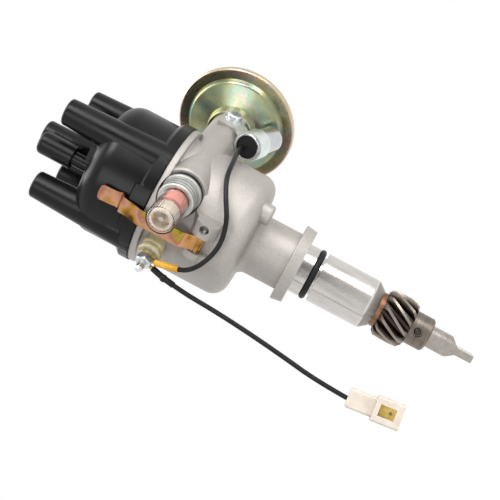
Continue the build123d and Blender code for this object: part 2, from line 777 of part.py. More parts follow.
def make_drive_end():
    washer = ring(washer_radius, shaft_radius + face_gap, washer_top - washer_thickness, washer_top)
    save(washer, "thrust_washer")
    twist = math.degrees(gear_face * math.tan(math.radians(gear_helix)) / gear_tip_radius)
    section = Pos(0, 0, gear_bottom) * gear_section()
    teeth = Solid.extrude_linear_with_rotation(
        section.faces()[0], (0, 0, gear_bottom), (0, 0, gear_face), twist
    )
    blank = turned(
        (0, gear_bottom),
        (gear_tip_radius - gear_bevel, gear_bottom),
        (gear_tip_radius + 0.05, gear_bottom + gear_bevel),
        (gear_tip_radius + 0.05, gear_top - gear_bevel),
        (gear_tip_radius - gear_bevel, gear_top),
        (0, gear_top),
    )
    gear = teeth & blank
    gear += turned(
        (0, hub_bottom),
        (hub_radius - 1.0, hub_bottom),
        (hub_radius, hub_bottom + 1.0),
        (hub_radius, gear_bottom + 0.5),
        (0, gear_bottom + 0.5),
    )
    gear -= disc(shaft_radius, hub_bottom - 1, gear_top + 1)
    cross = outward(shaft_azimuth, gear_pin_height)
    gear -= cross * disc(gear_pin_radius, -hub_radius - 1, hub_radius + 1)
    recess_floor = hub_radius - gear_pin_recess_depth
    gear -= cross * disc(gear_pin_recess, recess_floor, hub_radius + 1)
    gear -= cross * disc(gear_pin_recess, -hub_radius - 1, -recess_floor)
    save(gear, "drive_gear")
    pin_half = hub_radius - gear_pin_inset
    pin = disc(gear_pin_radius, -pin_half, pin_half)
    pin = fillet(pin.edges().filter_by(GeomType.CIRCLE), 0.4 * gear_pin_radius)
    save(cross * pin, "gear_pin")
    shaft = disc(shaft_radius, tang_tip, governor_height + governor_plate_thickness)
    shaft = chamfer(shaft.faces().sort_by(Axis.Z)[0].edges(), 0.8)
    shaft += disc(journal_radius, governor_height, journal_top)
    tang_top = tang_tip + tang_length
    flank = outline(
        (tang_thickness / 2, tang_tip - 1),
        (shaft_radius + 1, tang_tip - 1),
        (shaft_radius + 1, tang_top + tang_shoulder * 1.2),
        (tang_thickness / 2, tang_top, 2.0),
    )
    cutter = extrude(Plane.XZ * flank, 2 * shaft_radius, both=True)
    cutter += mirror(cutter, about=Plane.YZ)
    shaft = Rot(0, 0, shaft_azimuth) * (shaft - cutter)
    shaft -= cross * disc(gear_pin_radius, -hub_radius, hub_radius)
    save(shaft, "shaft")


# ---------------------------------------------------------------- governor and cam
def weight_space(azimuth):
    """A governor weight's curved body and its pivot eye, flat on the plate."""
    body = ring(weight_outer_radius, weight_inner_radius, weight_bottom, weight_top)
    reach = 3 * weight_outer_radius
    spread = [around(azimuth + 28, reach), around(azimuth + 90, 1.6 * reach),
              around(azimuth + 150, reach), (0, 0, 0)]
    sector = make_face(Polyline(*[side[:2] for side in spread], close=True))
    body &= extrude(Pos(0, 0, weight_bottom) * sector, weight_thickness)
    pivot = Pos(*around(azimuth, weight_pivot_reach))
    body += pivot * disc(4.2, weight_bottom, weight_top)
    neck_points = [around(azimuth - 6, weight_pivot_reach - 4),
                   around(azimuth + 2, weight_pivot_reach + 3.6),
                   around(azimuth + 36, weight_outer_radius),
                   around(azimuth + 36, weight_inner_radius + 1)]
    neck = make_face(Polyline(*[point[:2] for point in neck_points], close=True))
    body += extrude(Pos(0, 0, weight_bottom) * neck, weight_thickness)
    body -= pivot * disc(weight_pin_radius + pivot_gap, weight_bottom - 1, weight_top + 1)
    drive = disc(weight_drive_radius, weight_top - 1, yoke_top - 0.1)
    return body + Pos(*around(azimuth + 90, weight_drive_reach)) * drive


def make_governor():
    plate_top = governor_height + governor_plate_thickness
    plate = ring(governor_plate_radius, shaft_radius, governor_height, plate_top)
    for azimuth in (50, 230):
        hole = disc(governor_hole_radius, governor_height - 1, plate_top + 1)
        plate -= Pos(*around(azimuth, governor_hole_reach)) * hole
    for azimuth in (10, 190):
        post = disc(spring_post_radius, plate_top - 1, spring_height + governor_spring_radius)
        plate += Pos(*around(azimuth, spring_post_reach)) * post
    for azimuth in (90, 270):
        hole = disc(weight_pin_radius, governor_height - 1, plate_top + 1)
        plate -= Pos(*around(azimuth, weight_pivot_reach)) * hole
    save(plate, "governor_plate")
    pins = [Pos(*around(azimuth, weight_pivot_reach)) * disc(weight_pin_radius, governor_height,
                                                             weight_top + 0.3)
            for azimuth in (90, 270)]
    save(Compound(pins), "weight_pins")
    save(weight_space(90), "governor_weight_a")
    save(weight_space(270), "governor_weight_b")
    springs = []
    for azimuth in (10, 190):
        start = Vector(*around(azimuth, spring_post_reach, spring_height))
        end = Vector(*around(azimuth - 38, yoke_post_reach, spring_height))
        along = end - start
        gap = spring_post_radius + 0.3
        length = along.length - 2 * gap
        frame = Plane(origin=start + along.normalized() * gap, z_dir=along)
        mean_radius = governor_spring_radius - governor_spring_wire / 2
        springs.append(frame * coil(mean_radius, governor_spring_wire, governor_spring_turns,
                                    length, 0))
    save(Compound(springs), "governor_springs")


def make_cam():
    bore = journal_radius + running_gap
    cam = ring(yoke_radius, bore, yoke_bottom, yoke_top)
    cam &= block((-yoke_half_width, yoke_half_width), (-yoke_radius, yoke_radius),
                 (yoke_bottom, yoke_top))
    for azimuth in (0, 180):
        slot_middle = weight_drive_reach + 2
        slot = SlotOverall(yoke_slot_length, 2 * weight_drive_radius + yoke_slot_play, rotation=90)
        place = Rot(0, 0, azimuth) * Pos(0, -slot_middle, yoke_bottom - 1)
        cam -= place * extrude(slot, yoke_thickness + 2)
    for azimuth in (10, 190):
        post = disc(spring_post_radius, yoke_bottom, spring_height + governor_spring_radius)
        cam += Pos(*around(azimuth - 38, yoke_post_reach)) * post
    cam += disc(cam_sleeve_radius, yoke_bottom, cam_top) - disc(bore, yoke_bottom - 1, cam_top + 1)
    lobes = extrude(Pos(0, 0, cam_low) * RectangleRounded(2 * cam_flat, 2 * cam_flat, cam_corner),
                    cam_high - cam_low)
    cam += lobes - disc(bore, cam_low - 1, cam_high + 1)
    save(cam, "cam")
    head_radius = journal_radius - 0.9
    screw = disc(head_radius, journal_top, journal_top + 2.6)
    screw -= block((-head_radius, head_radius), (-0.5, 0.5), (journal_top + 1.6, journal_top + 3))
    save(screw, "cam_screw")


# ---------------------------------------------------------------- rotor
def make_rotor():
    hub_low = cam_top - rotor_skirt
    rotor = disc(rotor_hub_radius, hub_low, rotor_top)
    arm = outline(
        (-rotor_arm_width / 2, 0),
        (rotor_arm_width / 2, 0),
        (rotor_arm_width / 2 - 2, -rotor_arm_reach, 2.5),
        (2 - rotor_arm_width / 2, -rotor_arm_reach, 2.5),
    )
    rotor += extrude(Pos(0, 0, rotor_top - rotor_arm_thickness) * arm, rotor_arm_thickness)
    tail = Circle(rotor_tail_radius) & Pos(0, 0.75 * rotor_tail_radius) * Rectangle(
        1.625 * rotor_tail_radius, 1.5 * rotor_tail_radius)
    rotor += extrude(Pos(0, 0, rotor_top - rotor_arm_thickness) * tail, rotor_arm_thickness)
    rotor -= disc(cam_sleeve_radius, hub_low - 1, cam_top)
    turn = Rot(0, 0, rotor_azimuth)
    save(turn * rotor, "rotor")
    half_width = rotor_strip_width / 2
    strip = block((-half_width, half_width), (-rotor_tip_reach, 0), (rotor_top, strip_top))
    strip += disc(rotor_strip_pad_radius, rotor_top, strip_top)
    tip = block((-half_width, half_width), (-rotor_tip_reach, -rotor_arm_reach - 0.05),
                (rotor_top - 0.7 * rotor_arm_thickness, strip_top))
    save(turn * (strip + tip), "rotor_electrode")


# ---------------------------------------------------------------- contact breaker
def make_breaker_plates():
    base = ring(cavity_radius - running_gap, base_plate_bore, ledge_height,
                ledge_height + base_plate_thickness)
    hub_outer = base_plate_bore - running_gap
    plate = ring(moving_plate_radius, moving_plate_bore, moving_plate_bottom, moving_plate_top)
    plate += ring(hub_outer, moving_plate_bore + 1.2, ledge_height - 1.4, moving_plate_bottom)
    screws = []
    for azimuth in plate_screw_azimuths:
        place = Pos(*around(azimuth, plate_screw_reach))
        base -= place * disc(plate_screw_radius, ledge_height - 1, moving_plate_bottom)
        top = ledge_height + base_plate_thickness
        screw = disc(plate_screw_radius, ledge_height - plate_screw_depth + 0.3, top)
        screw += disc(2.6, top, top + 1.8)
        screw -= block((-3, 3), (-0.4, 0.4), (top + 1.0, top + 3))
        screws.append(place * screw)
    notch_low = boss_front - spot_face_wall - free_gap
    base -= vacuum_frame * block((-spot_face_radius - 3, spot_face_radius + 6),
                                 (-boss_radius - 3, 0), (notch_low, cavity_radius))
    save(base, "breaker_base")
    save(Compound(screws), "plate_screws")
    pivot_top = contact_height + breaker_arm_width / 2 + 1
    pivot = disc(breaker_pivot_radius, moving_plate_top - 1, pivot_top)
    plate += Pos(*around(breaker_pivot_azimuth, breaker_pivot_reach)) * pivot
    pin_place = vacuum_frame * Pos(0, 0, rod_pin_lead) * Rot(-90, 0, 0)
    drop = vacuum_height - moving_plate_top
    plate += pin_place * disc(rod_pin_radius, -drop - 1, 2.4)
    plate += pin_place * disc(rod_pin_radius + 1.5, -drop - moving_plate_thickness, -drop)
    save(plate, "breaker_plate")


def make_contacts():
    """The arm's plane has x along the arm, y up and z away from the cam."""
    pivot = Vector(*around(breaker_pivot_azimuth, breaker_pivot_reach, contact_height))
    tip = Vector(*around(contact_azimuth, contact_reach, contact_height))
    along = tip - pivot
    frame = Plane(origin=pivot, x_dir=along, z_dir=along.cross(Vector(0, 0, 1)))
    shaft_centre = frame.to_local_coords(Vector(0, 0, contact_height))
    half_width = breaker_arm_width / 2
    half_sheet = breaker_arm_thickness / 2
    reach = along.length
    arm = block((2, reach + contact_radius), (-half_width, half_width), (-half_sheet, half_sheet))
    arm += Pos(reach, 0, 0) * disc(contact_radius, -half_sheet - contact_thickness, 0)
    heel_tip = shaft_centre.Z + cam_corner_radius() + free_gap
    heel = outline((-2.4, 0), (-1.2, heel_tip, 0.8), (1.2, heel_tip, 0.8), (2.4, 0))
    heel = Pos(shaft_centre.X, 0, 0) * extrude(Plane.XZ * heel, half_width, both=True)
    upright = Rot(90, 0, 0)
    arm += heel + upright * Cylinder(breaker_pivot_radius + 1.7, breaker_arm_width)
    arm -= upright * Cylinder(breaker_pivot_radius + pivot_gap, 2 * breaker_arm_width)
    save(frame * arm, "breaker_arm")
    face = -half_sheet - contact_thickness - contact_gap
    wall = face - contact_thickness
    floor = moving_plate_top - contact_height
    bracket = Pos(reach, 0, 0) * disc(contact_radius, wall - 0.5, face)
    bracket += block((reach - 3.4, reach + 3.4), (floor, half_width), (wall - 1.2, wall))
    bracket += block((reach - 3.4, reach + 3.4), (floor, floor + 1.2), (wall - 1.2, 4.0))
    save(frame * bracket, "contact_bracket")


def cam_corner_radius():
    """How far a lobe's rounded tip stands from the shaft's axis."""
    return math.sqrt(2) * (cam_flat - cam_corner) + cam_corner


# ---------------------------------------------------------------- vacuum unit
def make_vacuum_unit():
    hub_front = -arm_reach
    cone_front = -dish_rim_reach + dish_cone_depth - 2
    rim_front = -dish_rim_reach + dish_rim_setback
    front = turned(
        (rod_radius + 1.2, hub_front),
        (dish_hub_radius, hub_front, 0.6),
        (dish_hub_radius + 1.2, cone_front + 3.0),
        (dish_cone_radius, rim_front + dish_band_step, 2.0),
        (dish_cone_radius + 1.4, rim_front),
        (dish_radius, rim_front, 0.9),
        (dish_radius, rim_front - dish_crimp),
        (dish_radius - dish_crimp_width, rim_front - dish_crimp),
        (dish_radius - dish_crimp_width, rim_front - dish_crimp + dish_sheet),
        (dish_radius - dish_sheet, rim_front - dish_crimp + dish_sheet),
        (dish_radius - dish_sheet, rim_front - dish_sheet),
        (dish_cone_radius + 0.6, rim_front - dish_sheet),
        (dish_cone_radius - 0.8, rim_front + dish_band_step - dish_sheet),
        (dish_hub_radius + 0.2, cone_front + 3.0 - dish_sheet),
        (dish_hub_radius - 0.9, hub_front - dish_sheet),
        (rod_radius + 1.2, hub_front - dish_sheet),
    )
    save(vacuum_frame * front, "vacuum_front_shell")
    seat = rim_front - dish_sheet
    lip = seat - diaphragm_thickness
    back = lip - rear_dome_depth
    rear = turned(
        (nozzle_bore, back),
        (rear_dome_radius, back, 5.0),
        (rear_dome_radius + 1.5, lip - dish_sheet, 1.0),
        (dish_radius - dish_sheet, lip - dish_sheet),
        (dish_radius - dish_sheet, lip),
        (rear_dome_radius + 0.5, lip),
        (rear_dome_radius - dish_sheet, back + dish_sheet, 4.0),
        (nozzle_bore, back + dish_sheet),
    )
    save(vacuum_frame * rear, "vacuum_rear_shell")
    nozzle = ring(nozzle_radius, nozzle_bore, back - nozzle_length, back)
    save(vacuum_frame * nozzle, "vacuum_nozzle")
    membrane = ring(dish_radius - dish_sheet, rod_radius + pivot_gap, lip, seat)
    save(vacuum_frame * membrane, "diaphragm")
    cup = ring(diaphragm_plate_radius, rod_radius, lip - dish_sheet - 0.05, lip - 0.05)
    cup += ring(diaphragm_plate_radius, rod_radius, seat + 0.05, seat + dish_sheet)
    save(vacuum_frame * Compound(cup.solids()), "diaphragm_plates")
    rod_high = rod_pin_lead
    rod = disc(rod_radius, lip - 2.5, rod_high - 4.0)
    eye = Rot(-90, 0, 0) * (Cylinder(3.4, 1.6) - Cylinder(rod_pin_radius + 0.25, 4))
    flat = block((-1.6, 1.6), (-0.8, 0.8), (rod_high - 6.0, rod_high - 2.6))
    link = rod + flat + Pos(0, 0, rod_high) * eye
    save(vacuum_frame * link, "vacuum_rod")
    spring_low = back + dish_sheet
    spring_length = lip - dish_sheet - 0.05 - spring_low
    spring = coil(vacuum_spring_radius, vacuum_spring_wire, vacuum_spring_turns, spring_length,
                  spring_low)
    save(vacuum_frame * spring, "vacuum_spring")


# ---------------------------------------------------------------- octane selector
def make_selector():
    seal_high = boss_front + selector_seal_thickness
    ring_high = seal_high + selector_ring_length
    seal = ring(selector_seal_radius, boss_bore_radius + 1, boss_front, seal_high)
    save(vacuum_frame * seal, "selector_seal")
    bore = selector_cap_radius
    collar = turned(
        (knob_stem_radius + pivot_gap, seal_high),
        (selector_ring_radius + 0.9, seal_high, 0.4),
        (selector_ring_radius + 0.9, seal_high + 2.0, 0.4),
        (selector_ring_radius, seal_high + 2.0),
        (selector_ring_radius, ring_high, 0.8),
        (bore, ring_high),
        (bore, seal_high + 3.0),
        (knob_stem_radius + pivot_gap, seal_high + 3.0),
    )
    for band in range(selector_ring_bands):
        low = seal_high + 3.4 + band * selector_band_pitch
        collar -= ring(selector_ring_radius + 1, selector_ring_radius - selector_band_depth, low,
                       low + selector_band_width)
    save(vacuum_frame * collar, "selector_ring")
    floor = seal_high + 3.0
    cup = turned(
        (selector_cap_radius - selector_cap_wall, floor),
        (selector_cap_radius, floor),
        (selector_cap_radius, selector_cap_reach, 1.2),
        (0, selector_cap_reach),
        (0, selector_cap_reach - selector_cap_wall),
        (selector_cap_radius - selector_cap_wall, selector_cap_reach - selector_cap_wall, 0.5),
    )
    save(vacuum_frame * cup, "selector_cap")
    knob_high = selector_cap_reach - selector_cap_wall - knob_end_gap
    knob_low = knob_high - knob_length
    recess_floor = knob_high - knob_recess_depth
    knob = disc(knob_radius, knob_low, knob_high)
    knob -= disc(knob_recess_radius, recess_floor, knob_high + 1)
    knob += disc(knob_nub_radius, recess_floor - 1, knob_high - 1)
    for rib in range(knob_ribs):
        groove = disc(0.42, knob_low - 1, knob_high + 1)
        turn = rib * 360 / knob_ribs
        knob -= Rot(0, 0, turn) * Pos(knob_radius + 0.1, 0, 0) * groove
    stem_low = boss_front - knob_stem_depth
    knob += disc(knob_stem_radius, stem_low, knob_low + 1)
    save(vacuum_frame * knob, "selector_knob")
    sleeve_high = knob_low - free_gap - selector_travel
    sleeve = ring(knob_radius + 0.3, knob_stem_radius + 0.3, sleeve_high - indicator_length,
                  sleeve_high)
    save(vacuum_frame * sleeve, "selector_indicator")


# ---------------------------------------------------------------- terminal
def make_terminal():
    inner = bowl_radius - 0.6
    block_outline = RectangleRounded(terminal_block_width, terminal_block_height,
                                     terminal_block_round)
    body = extrude(Pos(0, 0, inner) * block_outline, terminal_block_reach - inner)
    body = fillet(body.faces().sort_by(Axis.Z)[-1].edges(), 1.2)
    body = terminal_frame * body
    body -= disc(bowl_radius, terminal_height - terminal_block_height,
                 terminal_height + terminal_block_height)
    collar = turned(
        (0, terminal_block_reach),
        (terminal_collar_radius, terminal_block_reach, 0.5),
        (terminal_collar_radius, terminal_front, 1.0),
        (0, terminal_front),
    )
    neck = disc(terminal_neck_radius, cavity_radius - 2.0, terminal_block_reach)
    body += terminal_frame * (collar + neck)
    body -= terminal_frame * disc(stud_radius, 0, stud_reach)
    save(body, "terminal_insulator")
    stud = turned((0, cavity_radius - 4), (stud_radius, cavity_radius - 4),
                  (stud_radius, stud_reach, 0.8 * stud_radius), (0, stud_reach))
    save(terminal_frame * stud, "terminal_stud")
    washers = []
    for step in range(2):
        low = terminal_front + step * (terminal_washer_thickness + stack_gap)
        washers.append(ring(terminal_washer_radius, stud_radius + pivot_gap, low,
                            low + terminal_washer_thickness))
    save(terminal_frame * Compound(washers), "terminal_washers")
    tags = []
    for layer, (side, tail_top) in enumerate(zip(tag_sides, tag_tail_tops)):
        low = tag_low(layer)
        tag = disc(tag_radius, low, low + tag_thickness)
        tag += block((side - tag_tail_width / 2, side + tag_tail_width / 2),
                     (-tag_tail_end, tail_top), (low, low + tag_thickness))
        tags.append(tag - disc(stud_radius + pivot_gap, low - 1, low + tag_thickness + 1))
    save(terminal_frame * Compound(tags), "lead_tags")
    nut_low = tag_low(2)
    nut_high = nut_low + nut_height
    hexagon = RegularPolygon(nut_across_flats / 2, 6, major_radius=False)
    nut = extrude(Pos(0, 0, nut_low) * hexagon, nut_height)
    nut &= turned((0, nut_low), (nut_across_flats * 0.58, nut_low),
                  (nut_across_flats * 0.58, nut_low + nut_height * 0.7),
                  (nut_across_flats * 0.44, nut_high), (0, nut_high))
    save(terminal_frame * (nut - disc(stud_radius, 0, stud_reach)), "terminal_nut")


def tag_low(layer):
    """The inner face of a tag, or of the nut after the last one."""
    washers_high = terminal_front + 2 * (terminal_washer_thickness + stack_gap)
    return washers_high + layer * (tag_thickness + stack_gap)


# ---------------------------------------------------------------- condenser
def condenser_plane():
    centre = vacuum_frame.from_local_coords(
        Vector(condenser_offset, -condenser_drop, -condenser_setback))
    turn = math.radians(condenser_azimuth)
    tilt = math.radians(condenser_tilt)
    along = Vector(math.sin(turn) * math.cos(tilt), -math.cos(turn) * math.cos(tilt), math.sin(tilt))
    return Plane(origin=centre, x_dir=along.cross(Vector(0, 0, -1)), z_dir=along)


def make_condenser():
    frame = condenser_plane()
    half = condenser_length / 2
    can = turned(
        (0, -half),
        (condenser_radius, -half, 2.6),
        (condenser_radius, half, 0.4),
        (condenser_radius - condenser_rim, half),
        (condenser_radius - condenser_rim, half - 2.4),
        (0, half - 2.4),
    )
    save(frame * can, "condenser_can")
    seal = turned(
        (0, half - 2.4),
        (condenser_radius - condenser_rim, half - 2.4),
        (condenser_radius - condenser_rim, half - 0.4, 0.6),
        (0, half - 0.1),
    )
    save(frame * seal, "condenser_seal")
    strap = ring(condenser_radius + strap_sheet, condenser_radius, strap_forward,
                 strap_forward + strap_width)
    strap = frame * strap
    tab = outline(
        (4.6, -strap_screw_setback - 4.6, 3.0),
        (4.6, -strap_screw_setback + 4.6, 3.0),
        (-2.0, -strap_screw_setback + 5.6),
        (-condenser_drop + condenser_radius + 2.0, -condenser_setback + strap_width + 1.0),
        (-condenser_drop + condenser_radius + 0.2, -condenser_setback + strap_width + 1.0),
        (-condenser_drop + condenser_radius + 0.2, -condenser_setback + 1.0),
        (-2.0, -strap_screw_setback - 4.6),
    )
    plate = vacuum_frame * extrude(Plane.YZ.offset(screw_pad_face) * tab, strap_sheet)
    plate -= frame * disc(condenser_radius, -half - 5, half + 5)
    hole = Pos(0, -strap_screw_setback) * Circle(strap_screw_radius)
    hole = Plane.YZ.offset(screw_pad_face - 1) * hole
    plate -= vacuum_frame * extrude(hole, 5)
    beside_the_bowl = disc(bowl_radius + free_gap, neck_top, bowl_top)
    save(strap + plate - beside_the_bowl, "condenser_bracket")
    washer_face = screw_pad_face + strap_sheet
    axis = vacuum_frame * Pos(0, 0, -strap_screw_setback) * Rot(0, 90, 0)
    head_high = washer_face + strap_screw_head_height
    screw = turned(
        (0, 5.0),
        (strap_screw_radius, 5.0),
        (strap_screw_radius, washer_face),
        (strap_screw_head_radius, washer_face),
        (strap_screw_head_radius, washer_face + 0.9),
        (strap_screw_head_radius - 0.7, washer_face + 0.9),
        (strap_screw_head_radius - 0.7, head_high, 1.0),
        (0, head_high),
    )
    for turn in (0, 90):
        screw -= Rot(0, 0, turn) * block((-2.2, 2.2), (-0.5, 0.5), (head_high - 1.4, head_high + 1))
    save(axis * screw, "condenser_screw")


# ---------------------------------------------------------------- leads
def route(points, node, radius=lead_radius):
    """Straight runs joined by tangent arcs as large as the runs allow."""
    places = [Vector(*point) for point in points]
    runs = [after - before for before, after in zip(places, places[1:])]
    radii = []
    for before, after in zip(runs, runs[1:]):
        half_turn = math.radians(before.get_angle(after)) / 2
        radii.append(0.45 * min(before.length, after.length) / math.tan(half_turn))
    path = FilletPolyline(*places, radius=radii)
    print(node, "runs", [round(run.length, 1) for run in runs],
          "radii", [round(value, 1) for value in radii], "length", round(path.length, 1))
    section = Plane(origin=path @ 0, z_dir=path % 0) * Circle(radius)
    solid = sweep(section, path=path)
    print(node, "volume", round(solid.volume, 2), "section x length",
          round(math.pi * radius ** 2 * path.length, 2))
    return solid, path


def beside_bowl(point):
    """The place at an azimuth, a distance out from the bowl and a depth below the rim."""
    azimuth, stand, drop = point
    return Vector(*around(azimuth, bowl_radius + stand, bowl_top - drop))


def lead_end(layer):
    """Where a lead begins, over the end of its tag's tail."""
    middle = tag_low(layer) + tag_thickness / 2
    return terminal_frame.from_local_coords(Vector(tag_sides[layer], -lead_start, middle))


def sleeve(places, radius):
    """A tube that fits a lead from its end to partway along its second run."""
    start, bend, following = places[:3]
    first = bend - start
    second = following - bend
    half_turn = math.radians(first.get_angle(second)) / 2
    round_radius = 0.45 * min(first.length, second.length) / math.tan(half_turn)
    end = bend + second * sleeve_share
    path = FilletPolyline(start, bend, end, radius=round_radius)
    wall = Circle(radius) - Circle(lead_radius)
    return sweep(Plane(origin=path @ 0, z_dir=path % 0) * wall, path=path)


def make_leads():
    seal_face = condenser_plane()
    lead_exit = seal_face.from_local_coords(Vector(-1.8, 2.4, condenser_length / 2 - 0.1))
    places = [lead_end(0), *[beside_bowl(point) for point in condenser_lead_points], lead_exit]
    lead, path = route([tuple(place) for place in places], "condenser_lead")
    save(lead, "condenser_lead")
    save(sleeve(places, sleeve_radius), "condenser_sleeve")
    places = [lead_end(1), *[beside_bowl(point) for point in primary_lead_points], connector_entry()]
    lead, path = route([tuple(place) for place in places], "primary_lead")
    save(lead, "primary_lead")
    bulge = places[0] + (places[1] - places[0]).normalized() * shrink_bulge_drop
    shrink = sleeve(places, shrink_radius)
    shrink += Pos(*bulge) * Sphere(shrink_bulge_radius)
    save(shrink - lead, "lead_shrink")


def connector_entry():
    """Where the primary lead enters its connector."""
    return beside_bowl(primary_lead_points[-1]) + Vector(-0.5, 0.2, -connector_lead_in)


def connector_plane():
    """The connector's top face; z points down along the connector, and y to its front."""
    lean = math.radians(connector_tilt)
    along = Vector(math.sin(lean), -0.05, -math.cos(lean))
    turn = math.radians(connector_turn)
    sideways = Vector(math.cos(turn), math.sin(turn), 0)
    sideways = (sideways - along * sideways.dot(along) / along.dot(along)).normalized()
    return Plane(origin=connector_entry() + sideways * connector_shift, x_dir=sideways, z_dir=along)


def make_connector():
    frame = connector_plane()
    neck_high = connector_neck_length
    mouth_high = neck_high + connector_mouth_length
    neck = RectangleRounded(connector_width, connector_depth, connector_round)
    mouth = RectangleRounded(connector_mouth_width, connector_mouth_depth, connector_round)
    body = extrude(neck, neck_high)
    body = fillet(body.faces().sort_by(Axis.Z)[0].edges(), 1.0)
    body += extrude(Pos(0, 0, neck_high) * mouth, connector_mouth_length)
    socket = RectangleRounded(connector_mouth_width - 2 * connector_wall,
                              connector_mouth_depth - 2 * connector_wall, connector_round / 2)
    body -= extrude(Pos(0, 0, neck_high + connector_wall) * socket, connector_mouth_length)
    body -= block((-window_width / 2, window_width / 2), (0, connector_mouth_depth),
                  (window_low, window_high))
    half_blade = blade_width / 2
    blade = block((-half_blade, half_blade),
                  (-blade_setback - blade_thickness, -blade_setback), (blade_start, blade_end))
    body -= blade
    save(frame * body, "connector_body")
    hole = Rot(90, 0, 0) * Cylinder(blade_hole_radius, 2 * connector_mouth_depth)
    save(frame * (blade - Pos(0, 0, blade_hole_drop) * hole), "connector_blade")


# ---------------------------------------------------------------- the assembly
make_housing()
make_shank_fittings()
make_cap()
make_cap_fittings()
make_clip(front_clip_frame, "clip_front", "clip_pin_front")
make_clip(rear_clip_frame, "clip_rear", "clip_pin_rear")
make_drive_end()
make_governor()
make_cam()
make_rotor()
make_breaker_plates()
make_contacts()
make_vacuum_unit()
make_selector()
make_terminal()
make_condenser()
make_leads()
make_connector()
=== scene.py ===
import math

import bmesh
import bpy
from mathutils import Matrix, Vector


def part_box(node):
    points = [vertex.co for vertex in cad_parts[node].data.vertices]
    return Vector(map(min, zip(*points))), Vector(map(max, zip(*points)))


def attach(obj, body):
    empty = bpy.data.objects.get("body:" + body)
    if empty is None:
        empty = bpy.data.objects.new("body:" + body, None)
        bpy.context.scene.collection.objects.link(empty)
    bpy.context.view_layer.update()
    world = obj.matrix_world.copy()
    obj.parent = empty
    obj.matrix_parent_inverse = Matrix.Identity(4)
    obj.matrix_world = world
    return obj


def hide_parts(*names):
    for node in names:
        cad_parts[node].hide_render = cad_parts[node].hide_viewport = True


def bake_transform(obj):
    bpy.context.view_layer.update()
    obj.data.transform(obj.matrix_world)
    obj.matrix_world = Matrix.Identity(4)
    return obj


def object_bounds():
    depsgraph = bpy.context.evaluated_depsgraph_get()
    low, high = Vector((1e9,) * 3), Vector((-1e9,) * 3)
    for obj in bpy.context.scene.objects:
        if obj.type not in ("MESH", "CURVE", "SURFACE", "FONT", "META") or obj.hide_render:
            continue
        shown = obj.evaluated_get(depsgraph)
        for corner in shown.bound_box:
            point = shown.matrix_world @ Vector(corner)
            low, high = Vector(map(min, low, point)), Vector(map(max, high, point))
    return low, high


bl_info = {
    "name": "Ignition distributor",
    "version": (1, 0, 0),
    "blender": (4, 5, 0),
    "location": "View3D > Sidebar > Distributor",
    "description": "Dresses the distributor's CAD frame with cords, finishes, lights and a camera",
    "category": "Object",
}

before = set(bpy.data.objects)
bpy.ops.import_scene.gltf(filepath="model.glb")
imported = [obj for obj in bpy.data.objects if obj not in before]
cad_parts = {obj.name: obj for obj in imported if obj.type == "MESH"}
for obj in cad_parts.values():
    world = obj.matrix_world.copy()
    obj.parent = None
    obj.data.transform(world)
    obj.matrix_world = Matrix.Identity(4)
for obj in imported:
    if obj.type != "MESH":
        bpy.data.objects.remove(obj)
CAD_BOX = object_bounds()
MM = 0.001

# the stage
LENS_SHIFT = (-0.0883, 0.0470)
LIGHT_TARGET = (0.0, 0.0, 0.03)
LIGHTS = (  # name, place, side in metres, watts
    ("key", (0.55, -0.75, 0.60), 0.50, 7.5),
    ("side", (0.85, -0.60, 0.00), 0.45, 4.0),
    ("fill", (-0.35, -1.10, 0.35), 0.50, 3.0),
    ("top", (0.0, 0.1, 1.0), 0.70, 6.0),
    ("low", (0.35, -0.50, -0.50), 0.45, 2.2),
)
DARK_SIDE = (0.15, -1.0, -0.1)
DARK_SIDE_WHITE = 0.16
DIFFUSE_WHITE = 0.50
FLOOR_REACH = 3.0
FLOOR_GLOW = 1.12
FLOOR_GLOW_SHARE = 0.85

# measures on the object, in mm from the flange's seat and the shaft's axis
SHANK_TOP = 0.05
NOSE_TOP = -40.5
GEAR_LENGTH = 17.0
GEAR_ROOT, GEAR_TIP = 9.6, 13.3
DISH_HUB, DISH_RIM = 8.0, 33.0
KNURL_RIBS = 34.0
KNURL_START, KNURL_FULL = 45.4, 46.2
KNURL_INSIDE, KNURL_OUTSIDE = 7.0, 7.2


# ---------------------------------------------------------------- small tools
def linear(code):
    """An sRGB hex colour as linear RGBA."""
    values = [int(code[i:i + 2], 16) / 255 for i in (1, 3, 5)]
    return [v / 12.92 if v <= 0.04045 else ((v + 0.055) / 1.055) ** 2.4 for v in values] + [1.0]


def add_node(material, kind, inputs=None, **settings):
    """A new node; inputs maps a socket's name or number to a value or to another socket."""
    node = material.node_tree.nodes.new(kind)
    for name, value in settings.items():
        setattr(node, name, value)
    for key, value in (inputs or {}).items():
        socket = node.inputs[key]
        if isinstance(value, bpy.types.NodeSocket):
            material.node_tree.links.new(value, socket)
        else:
            socket.default_value = value
    return node


def new_material(name):
    """An empty node material with its output, and the object-space coordinates in mm."""
    material = bpy.data.materials.new(name)
    material.use_nodes = True
    material.node_tree.nodes.clear()
    output = add_node(material, "ShaderNodeOutputMaterial")
    place = add_node(material, "ShaderNodeTexCoord").outputs["Object"]
    millimetres = add_node(material, "ShaderNodeVectorMath", {0: place, 3: 1 / MM},
                           operation="SCALE")
    return material, output, millimetres.outputs["Vector"]


def noise(material, place, size, detail=4.0, stretch=(1.0, 1.0, 1.0)):
    """Noise whose blobs are about size mm across."""
    mapped = add_node(material, "ShaderNodeMapping", {"Vector": place, "Scale": stretch})
    return add_node(material, "ShaderNodeTexNoise", {
        "Vector": mapped.outputs["Vector"], "Scale": 1.0 / size, "Detail": detail,
    }).outputs["Fac"]


